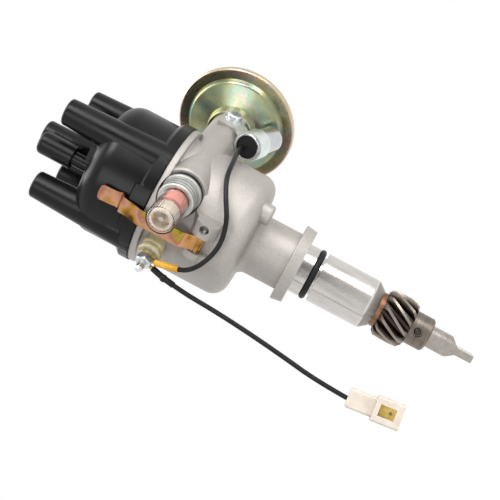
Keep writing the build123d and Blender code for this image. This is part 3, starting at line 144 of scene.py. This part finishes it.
def ramp(material, factor, stops):
    """A colour ramp from (position, hex colour) stops."""
    node = add_node(material, "ShaderNodeValToRGB", {"Fac": factor})
    elements = node.color_ramp.elements
    while len(elements) < len(stops):
        elements.new(0.5)
    for element, (position, code) in zip(elements, stops):
        element.position = position
        element.color = linear(code)
    return node.outputs["Color"]


def spread(material, factor, low, high, start=0.3, end=0.7):
    """Maps a value between start and end to a range."""
    return add_node(material, "ShaderNodeMapRange", {
        "Value": factor, "From Min": start, "From Max": end, "To Min": low, "To Max": high,
    }).outputs["Result"]


def bump(material, height, distance, strength=1.0, under=None):
    """A bump that stands distance mm high."""
    inputs = {"Height": height, "Distance": distance * MM, "Strength": strength}
    if under is not None:
        inputs["Normal"] = under
    return add_node(material, "ShaderNodeBump", inputs).outputs["Normal"]


def blend(material, factor, first, second):
    """Mixes two colours."""
    return add_node(material, "ShaderNodeMix", {"Factor": factor, 6: first, 7: second},
                    data_type="RGBA").outputs[2]


def finish_with(material, output, **inputs):
    """Ends a material in one Principled shader."""
    shader = add_node(material, "ShaderNodeBsdfPrincipled",
                      {key.replace("_", " "): value for key, value in inputs.items()})
    material.node_tree.links.new(shader.outputs["BSDF"], output.inputs["Surface"])


def from_axis(material, place, point, along):
    """The distance in mm from the axis through a point in mm."""
    offset = add_node(material, "ShaderNodeVectorMath", {0: place, 1: point}, operation="SUBTRACT")
    shadow = add_node(material, "ShaderNodeVectorMath", {0: offset.outputs[0], 1: along},
                      operation="PROJECT")
    across = add_node(material, "ShaderNodeVectorMath", {
        0: offset.outputs[0], 1: shadow.outputs[0]}, operation="SUBTRACT")
    return add_node(material, "ShaderNodeVectorMath", {0: across.outputs[0]},
                    operation="LENGTH").outputs["Value"]


def height_of(material, place):
    """The height in mm over the flange's seat."""
    return add_node(material, "ShaderNodeSeparateXYZ", {0: place}).outputs["Z"]


def below(material, place, level):
    """1 below a height in mm, and 0 above it."""
    return add_node(material, "ShaderNodeMath", {0: height_of(material, place), 1: level},
                    operation="LESS_THAN").outputs[0]


def choose(material, factor, first, second):
    """The first number where factor is 0, and the second where it is 1."""
    return add_node(material, "ShaderNodeMix", {"Factor": factor, 2: first, 3: second}).outputs[0]


def bright_rays(owner):
    """1 for the rays that meet the white studio: the camera's, mirrored ones and those in glass."""
    path = add_node(owner, "ShaderNodeLightPath")
    indirect = add_node(owner, "ShaderNodeMath", {
        0: path.outputs["Is Glossy Ray"], 1: path.outputs["Is Transmission Ray"],
    }, operation="MAXIMUM")
    return add_node(owner, "ShaderNodeMath", {
        0: path.outputs["Is Camera Ray"], 1: indirect.outputs[0]}, operation="MAXIMUM").outputs[0]


def dress(material, *nodes):
    """Gives CAD nodes a material."""
    for name in nodes:
        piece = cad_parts[name]
        if not piece.material_slots:
            piece.data.materials.append(material)
        for entry in piece.material_slots:
            entry.material = material


# ---------------------------------------------------------------- settings
class StageSettings(bpy.types.PropertyGroup):
    """The camera, lights and floor."""
    distance: bpy.props.FloatProperty(
        name="Distance", description="From the camera to the shaft's axis",
        default=0.590, unit="LENGTH")
    sideways: bpy.props.FloatProperty(
        name="Sideways", description="How far the camera stands left of the shaft's axis",
        default=0.00415, unit="LENGTH")
    height: bpy.props.FloatProperty(
        name="Height", description="The camera's height over the flange's seat",
        default=0.00088, unit="LENGTH")
    roll: bpy.props.FloatProperty(
        name="Roll", description="How far the camera is rolled about its axis",
        default=math.radians(62.0), subtype="ANGLE")
    lens: bpy.props.FloatProperty(
        name="Lens", description="Focal length in millimetres on a 36 mm sensor", default=81.79)
    floor_drop: bpy.props.FloatProperty(
        name="Floor drop", description="From the object's lowest point down to the floor",
        default=0.05, unit="LENGTH")


class LeadSettings(bpy.types.PropertyGroup):
    """The two leads."""
    diameter: bpy.props.FloatProperty(
        name="Diameter", description="Across a lead's insulation", default=0.0025, unit="LENGTH")
    braid: bpy.props.FloatProperty(
        name="Braid pitch", description="Length of one turn of the primary lead's weave, in mm",
        default=1.6)


class FinishSettings(bpy.types.PropertyGroup):
    """The sizes of the cast skin's grain and of the plating's colour patches."""
    casting_grain: bpy.props.FloatProperty(
        name="Casting grain", description="Size of the cast skin's grain, in mm", default=0.45)
    plating_cloud: bpy.props.FloatProperty(
        name="Plating cloud", description="Size of the plating's colour patches, in mm",
        default=17.0)


# ---------------------------------------------------------------- the stage
class OBJECT_OT_distributor_stage(bpy.types.Operator):
    """Makes the camera, the soft lights, the white background and the pale floor"""
    bl_idname = "object.distributor_stage"
    bl_label = "Stage"

    def execute(self, context):
        settings = context.scene.distributor_stage
        self.camera(context, settings)
        self.lights()
        self.background(context)
        self.floor(settings)
        return {"FINISHED"}

    def camera(self, context, settings):
        data = bpy.data.cameras.new("camera")
        data.lens = settings.lens
        data.sensor_width = 36.0
        data.shift_x, data.shift_y = LENS_SHIFT
        camera = bpy.data.objects.new("camera", data)
        context.scene.collection.objects.link(camera)
        across, along = math.cos(settings.roll), math.sin(settings.roll)
        turn = Matrix(((across, along, 0), (0, 0, -1), (-along, across, 0)))
        place = Vector((-settings.sideways, -settings.distance, settings.height))
        camera.matrix_world = Matrix.Translation(place) @ turn.to_4x4()
        context.scene.camera = camera
        context.scene.view_settings.view_transform = "Standard"

    def lights(self):
        target = Vector(LIGHT_TARGET)
        for name, place, size, power in LIGHTS:
            data = bpy.data.lights.new(name, "AREA")
            data.shape = "SQUARE"
            data.size = size
            data.energy = power
            light = bpy.data.objects.new(name, data)
            light.location = place
            light.rotation_mode = "QUATERNION"
            light.rotation_quaternion = (Vector(place) - target).to_track_quat("Z", "Y")
            bpy.context.scene.collection.objects.link(light)

    def background(self, context):
        world = bpy.data.worlds.new("studio")
        world.use_nodes = True
        world.node_tree.nodes.clear()
        direction = add_node(world, "ShaderNodeTexCoord").outputs["Generated"]
        forwards = add_node(world, "ShaderNodeVectorMath", {0: direction, 1: DARK_SIDE},
                            operation="DOT_PRODUCT").outputs["Value"]
        room = add_node(world, "ShaderNodeMapRange", {
            "Value": forwards, "From Min": 0.50, "From Max": 0.93,
            "To Min": 1.0, "To Max": DARK_SIDE_WHITE,
        }, interpolation_type="SMOOTHSTEP").outputs["Result"]
        mirrored = add_node(world, "ShaderNodeLightPath").outputs["Is Glossy Ray"]
        white = choose(world, mirrored, 1.0, room)
        strength = choose(world, bright_rays(world), DIFFUSE_WHITE, white)
        light = add_node(world, "ShaderNodeBackground", {
            "Color": (1, 1, 1, 1), "Strength": strength})
        output = add_node(world, "ShaderNodeOutputWorld")
        world.node_tree.links.new(light.outputs["Background"], output.inputs["Surface"])
        context.scene.world = world

    def floor(self, settings):
        mesh = bpy.data.meshes.new("floor")
        form = bmesh.new()
        low = CAD_BOX[0][2] - settings.floor_drop
        corners = [form.verts.new((x * FLOOR_REACH, y * FLOOR_REACH, low)) for x, y in
                   ((-1, -1), (1, -1), (1, 1), (-1, 1))]
        form.faces.new(corners)
        form.to_mesh(mesh)
        form.free()
        floor = bpy.data.objects.new("floor", mesh)
        bpy.context.scene.collection.objects.link(floor)
        material, output, _ = new_material("matt white paper")
        paper = add_node(material, "ShaderNodeBsdfDiffuse", {"Color": linear("#f4f4f2")})
        glow = add_node(material, "ShaderNodeEmission", {
            "Color": (1, 1, 1, 1), "Strength": FLOOR_GLOW})
        share = add_node(material, "ShaderNodeMath", {
            0: bright_rays(material), 1: FLOOR_GLOW_SHARE}, operation="MULTIPLY")
        mixed = add_node(material, "ShaderNodeMixShader", {
            0: share.outputs[0], 1: paper.outputs[0], 2: glow.outputs[0]})
        material.node_tree.links.new(mixed.outputs[0], output.inputs["Surface"])
        mesh.materials.append(material)


# ---------------------------------------------------------------- the leads
CONDENSER_ROUTE = (
    (-31.557, -30.057, 64.000),
    (-30.177, -31.469, 56.600),
    (-28.234, -34.007, 48.200),
    (-21.227, -36.472, 42.400),
    (-9.753, -39.411, 38.700),
    (2.314, -40.133, 41.000),
    (12.233, -37.873, 47.300),
    (22.019, -33.394, 52.400),
    (31.138, -22.129, 53.900),
    (37.171, -10.029, 55.600),
    (40.845, 1.219, 55.729),
)
PRIMARY_ROUTE = (
    (-34.732, -27.979, 64.000),
    (-36.298, -28.257, 58.000),
    (-38.204, -28.894, 45.000),
    (-39.025, -29.301, 26.000),
    (-40.745, -29.495, 6.000),
    (-43.019, -29.566, -14.000),
    (-45.675, -29.549, -33.500),
    (-46.175, -29.349, -51.000),
)


class OBJECT_OT_distributor_leads(bpy.types.Operator):
    """Makes the condenser's lead and the primary lead as smooth curves"""
    bl_idname = "object.distributor_leads"
    bl_label = "Leads"

    def execute(self, context):
        settings = context.scene.distributor_leads
        plain = self.rubber("black PVC insulation, extruded", 0.0)
        woven = self.rubber("black varnished braid", settings.braid)
        first = self.lead("condenser_cord", CONDENSER_ROUTE, settings.diameter, plain)
        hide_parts("condenser_lead")
        second = self.lead("primary_cord", PRIMARY_ROUTE, settings.diameter, woven)
        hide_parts("primary_lead")
        return {"FINISHED"}

    def lead(self, name, route, diameter, material):
        data = bpy.data.curves.new(name, "CURVE")
        data.dimensions = "3D"
        data.bevel_depth = diameter / 2
        data.bevel_resolution = 5
        data.resolution_u = 16
        spline = data.splines.new("NURBS")
        spline.points.add(len(route) - 1)
        for point, place in zip(spline.points, route):
            point.co = [value * MM for value in place] + [1.0]
        spline.order_u = 3
        spline.use_endpoint_u = True
        data.materials.append(material)
        piece = bpy.data.objects.new(name, data)
        bpy.context.scene.collection.objects.link(piece)
        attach(piece, "housing")
        return piece

    def rubber(self, name, pitch):
        material, output, place = new_material(name)
        cloud = noise(material, place, 2.5)
        colour = ramp(material, cloud, ((0.3, "#0b0b0c"), (0.7, "#1a1a1b")))
        fine = noise(material, place, 0.3)
        normal = bump(material, fine, 0.02)
        if pitch:
            twist = add_node(material, "ShaderNodeTexWave", {
                "Vector": place, "Scale": 1.0 / pitch, "Distortion": 0.6,
            }, bands_direction="DIAGONAL")
            normal = bump(material, twist.outputs["Fac"], 0.06, under=normal)
        finish_with(material, output, Base_Color=colour, Normal=normal, Specular_IOR_Level=0.25,
                    Roughness=spread(material, fine, 0.34, 0.5))
        return material


# ---------------------------------------------------------------- finishes
class OBJECT_OT_distributor_castings(bpy.types.Operator):
    """Finishes the cast and turned aluminium housing"""
    bl_idname = "object.distributor_castings"
    bl_label = "Castings"

    def execute(self, context):
        grain = context.scene.distributor_finish.casting_grain
        material, output, place = new_material("aluminium, die cast above the flange, turned below")
        turned = below(material, place, SHANK_TOP)
        broad = noise(material, place, 22.0, 3.0)
        fine = noise(material, place, grain, 6.0)
        cast = ramp(material, broad, ((0.25, "#9b9691"), (0.5, "#a9a49f"), (0.75, "#b6b1ac")))
        speckle = ramp(material, fine, ((0.35, "#85807b"), (0.65, "#c6c1bc")))
        cast = blend(material, 0.38, cast, speckle)
        rings = noise(material, place, 0.5, 2.0, (0.02, 0.02, 1.0))
        scuffs = noise(material, place, 5.0, 4.0, (1.0, 1.0, 0.25))
        bright = ramp(material, scuffs, ((0.3, "#bdb8b4"), (0.7, "#d6d2ce")))
        nose = below(material, place, NOSE_TOP)
        bright = blend(material, nose, bright, linear("#958f89"))
        colour = blend(material, turned, cast, bright)
        flow = noise(material, place, 7.0, 3.0)
        skin = bump(material, fine, 0.06, 0.8, under=bump(material, flow, 0.25, 0.6))
        cut = bump(material, rings, 0.004, 0.6)
        normal = add_node(material, "ShaderNodeMix", {
            "Factor": turned, 4: skin, 5: cut}, data_type="VECTOR").outputs[1]
        dull = spread(material, fine, 0.42, 0.60)
        smooth = choose(material, nose, spread(material, scuffs, 0.16, 0.24), 0.42)
        finish_with(material, output, Base_Color=colour, Normal=normal,
                    Metallic=choose(material, turned, 0.6, 1.0),
                    Roughness=choose(material, turned, dull, smooth))
        dress(material, "housing")
        return {"FINISHED"}


SELECTOR_AXIS = (18.76, -12.42, 68.0)
SELECTOR_WAY = (-0.5519, -0.8339, 0.0)
SELECTOR_RIGHT = (0.8339, -0.5519, 0.0)


class OBJECT_OT_distributor_mouldings(bpy.types.Operator):
    """Finishes the cap, the rotor, the nylon pieces, the clear cap and the rubber pieces"""
    bl_idname = "object.distributor_mouldings"
    bl_label = "Mouldings"

    def execute(self, context):
        self.phenolic("black phenolic, moulded", "#070708", "#0f0f10", "cap")
        self.phenolic("brown phenolic, moulded", "#2b140a", "#432012", "rotor", "breaker_arm")
        self.rubber()
        self.nylon("ivory nylon, moulded", "#a09570", "#bbb190", 0.25, "terminal_insulator")
        self.nylon("beige nylon, moulded", "#cfc1b2", "#e2d6ca", 0.35, "selector_knob")
        self.nylon("natural nylon, moulded", "#c4b9ad", "#d5cbbf", 0.40, "connector_body")
        self.nylon("red acetal, moulded", "#c4685c", "#dc8f84", 0.25, "selector_indicator")
        self.nylon("yellow PVC sleeving, extruded", "#c98d12", "#e6ae2a", 0.20, "condenser_sleeve")
        self.clear()
        self.carbon()
        return {"FINISHED"}

    def phenolic(self, name, dark, light, *nodes):
        """Semi-matt, with a faint flow cloud and a fine skin that breaks up the highlights."""
        material, output, place = new_material(name)
        cloud = noise(material, place, 14.0)
        fine = noise(material, place, 0.35, 5.0)
        colour = ramp(material, cloud, ((0.3, dark), (0.7, light)))
        finish_with(material, output, Base_Color=colour,
                    Roughness=spread(material, cloud, 0.26, 0.36),
                    Normal=bump(material, fine, 0.014, 0.6), Specular_IOR_Level=0.24)
        dress(material, *nodes)

    def rubber(self):
        """Dull and dark, with a fine moulded grain."""
        material, output, place = new_material("black rubber, moulded")
        fine = noise(material, place, 0.25, 5.0)
        colour = ramp(material, noise(material, place, 3.0), ((0.3, "#0a0a0a"), (0.7, "#161616")))
        finish_with(material, output, Base_Color=colour,
                    Roughness=spread(material, fine, 0.40, 0.58),
                    Normal=bump(material, fine, 0.02), Specular_IOR_Level=0.25)
        dress(material, "o_ring", "cap_gasket", "selector_seal", "condenser_seal", "diaphragm",
              "lead_shrink")

    def nylon(self, name, dark, light, through, *nodes):
        """Waxy, with light let in under the skin."""
        material, output, place = new_material(name)
        cloud = noise(material, place, 6.0)
        colour = ramp(material, cloud, ((0.3, dark), (0.7, light)))
        finish_with(material, output, Base_Color=colour,
                    Roughness=spread(material, cloud, 0.34, 0.46),
                    Subsurface_Weight=through, Subsurface_Radius=(1.0, 0.9, 0.7),
                    Subsurface_Scale=0.002, IOR=1.53,
                    Normal=bump(material, noise(material, place, 0.4), 0.01))
        dress(material, *nodes)

    def clear(self):
        """Clear acrylic, a little hazed by handling, with a knurl round its outer end."""
        material, output, place = new_material("clear acrylic, moulded")
        offset = add_node(material, "ShaderNodeVectorMath", {0: place, 1: SELECTOR_AXIS},
                          operation="SUBTRACT").outputs[0]
        along, right = (add_node(material, "ShaderNodeVectorMath", {0: offset, 1: way},
                                 operation="DOT_PRODUCT").outputs["Value"]
                        for way in (SELECTOR_WAY, SELECTOR_RIGHT))
        rise = height_of(material, offset)
        angle = add_node(material, "ShaderNodeMath", {0: rise, 1: right}, operation="ARCTAN2")
        turns = add_node(material, "ShaderNodeMath", {0: angle.outputs[0], 1: KNURL_RIBS},
                         operation="MULTIPLY")
        ribs = add_node(material, "ShaderNodeMath", {0: turns.outputs[0]}, operation="SINE")
        knurled = spread(material, along, 0.0, 1.0, KNURL_START, KNURL_FULL)
        reach = from_axis(material, place, SELECTOR_AXIS, SELECTOR_WAY)
        outside = spread(material, reach, 0.0, 1.0, KNURL_INSIDE, KNURL_OUTSIDE)
        zone = add_node(material, "ShaderNodeMath", {0: knurled, 1: outside}, operation="MULTIPLY")
        height = add_node(material, "ShaderNodeMath", {0: ribs.outputs[0], 1: zone.outputs[0]},
                          operation="MULTIPLY")
        haze = noise(material, place, 2.0)
        finish_with(material, output, Base_Color=linear("#fdfcfa"), IOR=1.30,
                    Transmission_Weight=1.0, Roughness=spread(material, haze, 0.03, 0.09),
                    Normal=bump(material, height.outputs[0], 0.09))
        dress(material, "selector_cap")

    def carbon(self):
        """Pressed carbon, dark and dusty."""
        material, output, place = new_material("pressed carbon")
        fine = noise(material, place, 0.3)
        finish_with(material, output, Base_Color=ramp(material, fine, ((0.3, "#111113"),
                                                                       (0.7, "#2c2c2f"))),
                    Roughness=0.6, Normal=bump(material, fine, 0.03))
        dress(material, "centre_brush")


class OBJECT_OT_distributor_metals(bpy.types.Operator):
    """Finishes the plated, machined and stamped metal pieces"""
    bl_idname = "object.distributor_metals"
    bl_label = "Metals"

    def execute(self, context):
        cloud = context.scene.distributor_finish.plating_cloud
        self.dish(cloud)
        self.clip(cloud * 0.7)
        self.gear()
        self.turned("steel, ground", "#9a948d", "#aaa49c", 0.15, 0.19, "shaft")
        self.turned("bronze, sintered", "#6f4e38", "#96725a", 0.34, 0.48, "thrust_washer",
                    "lower_bush", "upper_bush")
        self.plain("bright zinc plate", "#b2b7ba", "#eceeef", 0.24, 0.40, 1.4, 0.015,
                   "condenser_screw", "terminal_stud", "terminal_nut", "clip_pin_front",
                   "clip_pin_rear", "plate_screws", "terminal_washers")
        self.plain("blue zinc plate, rolled", "#c9d3d2", "#e3e6e2", 0.26, 0.38, 6.0, 0.008,
                   "condenser_bracket")
        self.plain("zinc plate, passivated dull", "#b9bab6", "#cfcfca", 0.42, 0.52, 3.0, 0.01,
                   "selector_ring")
        self.plain("tin plate, rolled", "#aeb2b5", "#c8cacb", 0.14, 0.22, 9.0, 0.006,
                   "condenser_can")
        # painted shade: the pin is coloured near black to stand for the shade in the hub's recess
        # round it
        self.plain("steel, darkened as painted recess shade", "#37322d", "#4f4944", 0.30, 0.45, 1.6, 0.015, "gear_pin")
        self.plain("steel, stamped and oiled", "#6a655f", "#8f8a83", 0.30, 0.45, 1.6, 0.015,
                   "governor_plate", "weight_pins", "governor_weight_a",
                   "governor_weight_b", "cam", "cam_screw", "breaker_base", "breaker_plate",
                   "contact_bracket", "vacuum_rod", "diaphragm_plates")
        self.plain("brass, stamped", "#b8923f", "#dcbf74", 0.22, 0.34, 3.0, 0.008, "lead_tags",
                   "side_electrodes", "centre_electrode", "rotor_electrode")
        # painted light: the brass colour is lightened towards white to stand in for light the
        # recessed window does not get
        self.plain("brass, stamped, lightened as painted light", "#f2cb62", "#ffe898", 0.48, 0.60, 1.2, 0.015,
                   "connector_blade", metallic=0.35)
        self.plain("spring wire, coiled", "#77777a", "#a0a0a3", 0.25, 0.38, 1.5, 0.01,
                   "brush_spring", "governor_springs", "vacuum_spring")
        return {"FINISHED"}

    def plain(self, name, dark, light, smooth, rough, size, depth, *nodes, metallic=1.0):
        """A metal with a cloudy tone, and small marks that change its shine."""
        material, output, place = new_material(name)
        cloud = noise(material, place, size)
        marks = noise(material, place, size * 0.15, 6.0)
        finish_with(material, output, Base_Color=ramp(material, cloud, ((0.3, dark), (0.7, light))),
                    Metallic=metallic, Roughness=spread(material, marks, smooth, rough),
                    Normal=bump(material, marks, depth))
        dress(material, *nodes)

    def turned(self, name, dark, light, smooth, rough, *nodes):
        """Fine rings left by the tool, which draw the highlights out along the axis."""
        material, output, place = new_material(name)
        rings = noise(material, place, 0.35, 2.0, (0.02, 0.02, 1.0))
        cloud = noise(material, place, 3.0)
        colour = ramp(material, cloud, ((0.3, dark), (0.7, light)))
        finish_with(material, output, Base_Color=colour, Metallic=1.0,
                    Roughness=spread(material, cloud, smooth, rough),
                    Normal=bump(material, rings, 0.006, 0.7))
        dress(material, *nodes)

    def gear(self):
        """Teeth with painted shade, darker towards their roots, and a painted highlight, lighter at
        their tips, and a turned hub.
        """
        material, output, place = new_material("steel, hobbed, painted root shade and tip highlight")
        hub_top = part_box("drive_gear")[1][2] / MM - GEAR_LENGTH
        hub = below(material, place, hub_top)
        reach = from_axis(material, place, (0.0, 0.0, 0.0), (0.0, 0.0, 1.0))
        depth = spread(material, reach, 0.0, 1.0, GEAR_ROOT, GEAR_TIP)
        # painted shade in the tooth roots and painted highlight on the tips, set by the distance
        # from the axis
        root_shade_tip_highlight = ramp(material, depth, ((0.0, "#453d37"), (0.55, "#6a6159"), (1.0, "#998f85")))
        rings = noise(material, place, 0.4, 2.0, (0.02, 0.02, 1.0))
        turned = ramp(material, rings, ((0.3, "#69615a"), (0.7, "#857c73")))
        cloud = noise(material, place, 2.2)
        finish_with(material, output, Base_Color=blend(material, hub, root_shade_tip_highlight, turned), Metallic=1.0,
                    Roughness=spread(material, cloud, 0.26, 0.40),
                    Normal=bump(material, rings, 0.01, 0.8))
        dress(material, "drive_gear")

    def chromate(self, material, place, size, colours):
        """A passivation film: its colour turns with its thickness, in soft patches."""
        film = noise(material, place, size, 2.0)
        steps = [(0.30 + 0.44 * i / (len(colours) - 1), code) for i, code in enumerate(colours)]
        return ramp(material, film, steps)

    def dish(self, size):
        """Chromated zinc: straw on the hub, green and blue on the cone, rose at the rolled rim; the
        pale straw hub and the rose rim are chromate tint partly painted highlight, and the darker
        band just inside the rim is painted shade.
        """
        material, output, place = new_material("yellow chromated zinc plate, pressed")
        reach = from_axis(material, place, SELECTOR_AXIS, SELECTOR_WAY)
        depth = spread(material, reach, 0.0, 1.0, DISH_HUB, DISH_RIM)
        # bands by radius: chromate tint, with painted highlight at the hub and the rim, and painted
        # shade in the darker band at 0.70 inside the rim
        bands = ramp(material, depth, (
            (0.00, "#cfca9c"), (0.30, "#a6ae8e"), (0.55, "#8a997f"), (0.70, "#6f7c6a"),
            (0.76, "#83846a"), (0.90, "#b09f82"), (1.00, "#dfc0aa")))
        patches = self.chromate(material, place, size, (
            "#7b8a72", "#a3a67c", "#c2b783", "#8bada0", "#b59994", "#7b8968"))
        marks = noise(material, place, 0.8, 6.0)
        finish_with(material, output, Base_Color=blend(material, 0.45, bands, patches),
                    Metallic=1.0, Roughness=spread(material, marks, 0.26, 0.34),
                    Normal=bump(material, marks, 0.002))
        dress(material, "vacuum_front_shell", "vacuum_rear_shell", "vacuum_nozzle")

    def clip(self, size):
        """Spring steel under a thick yellow film that runs to rose and olive."""
        material, output, place = new_material("yellow chromated spring steel")
        colour = self.chromate(material, place, size, (
            "#5c3f1c", "#b0803f", "#c39374", "#a8705a", "#a8953a", "#4c421b"))
        marks = noise(material, place, 0.5, 6.0)
        finish_with(material, output, Base_Color=colour, Metallic=1.0,
                    Roughness=spread(material, marks, 0.15, 0.24),
                    Normal=bump(material, marks, 0.003))
        dress(material, "clip_front", "clip_rear")


# ---------------------------------------------------------------- springs
class OBJECT_OT_distributor_springs(bpy.types.Operator):
    """Puts plain copies of the vacuum spring and the brush spring in place of their CAD pieces"""
    bl_idname = "object.distributor_springs"
    bl_label = "Springs"

    def execute(self, context):
        outward = [-value for value in SELECTOR_WAY]
        self.shorten("vacuum_spring", "vacuum_rod", SELECTOR_AXIS, outward)
        self.shorten("brush_spring", "centre_brush", (0.0, 0.0, 0.0), (0.0, 0.0, 1.0))
        return {"FINISHED"}

    def shorten(self, node, body, origin, way):
        """Copies the spring's mesh into a new object with its placement baked in, and hides the CAD
        piece.
        """
        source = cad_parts[node]
        coil = bpy.data.objects.new(node + "_coil", source.data.copy())
        bpy.context.scene.collection.objects.link(coil)
        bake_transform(coil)
        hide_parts(node)


# ---------------------------------------------------------------- the panel
class VIEW3D_PT_distributor(bpy.types.Panel):
    """The distributor's settings and steps"""
    bl_label = "Distributor"
    bl_idname = "VIEW3D_PT_distributor"
    bl_space_type = "VIEW_3D"
    bl_region_type = "UI"
    bl_category = "Distributor"

    def draw(self, context):
        scene = context.scene
        for group, names in (
            (scene.distributor_stage,
             ("distance", "sideways", "height", "roll", "lens", "floor_drop")),
            (scene.distributor_leads, ("diameter", "braid")),
            (scene.distributor_finish, ("casting_grain", "plating_cloud")),
        ):
            box = self.layout.box()
            for name in names:
                box.prop(group, name)
        for operator in OPERATORS:
            self.layout.operator(operator.bl_idname)


OPERATORS = (
    OBJECT_OT_distributor_stage,
    OBJECT_OT_distributor_leads,
    OBJECT_OT_distributor_castings,
    OBJECT_OT_distributor_mouldings,
    OBJECT_OT_distributor_metals,
    OBJECT_OT_distributor_springs,
)
CLASSES = (StageSettings, LeadSettings, FinishSettings) + OPERATORS + (VIEW3D_PT_distributor,)


def register():
    for entry in CLASSES:
        bpy.utils.register_class(entry)
    bpy.types.Scene.distributor_stage = bpy.props.PointerProperty(type=StageSettings)
    bpy.types.Scene.distributor_leads = bpy.props.PointerProperty(type=LeadSettings)
    bpy.types.Scene.distributor_finish = bpy.props.PointerProperty(type=FinishSettings)


def unregister():
    del bpy.types.Scene.distributor_finish
    del bpy.types.Scene.distributor_leads
    del bpy.types.Scene.distributor_stage
    for entry in reversed(CLASSES):
        bpy.utils.unregister_class(entry)


def main():
    register()
    bpy.ops.object.distributor_stage()
    bpy.ops.object.distributor_leads()
    bpy.ops.object.distributor_castings()
    bpy.ops.object.distributor_mouldings()
    bpy.ops.object.distributor_metals()
    bpy.ops.object.distributor_springs()


if __name__ == "__main__":
    main()
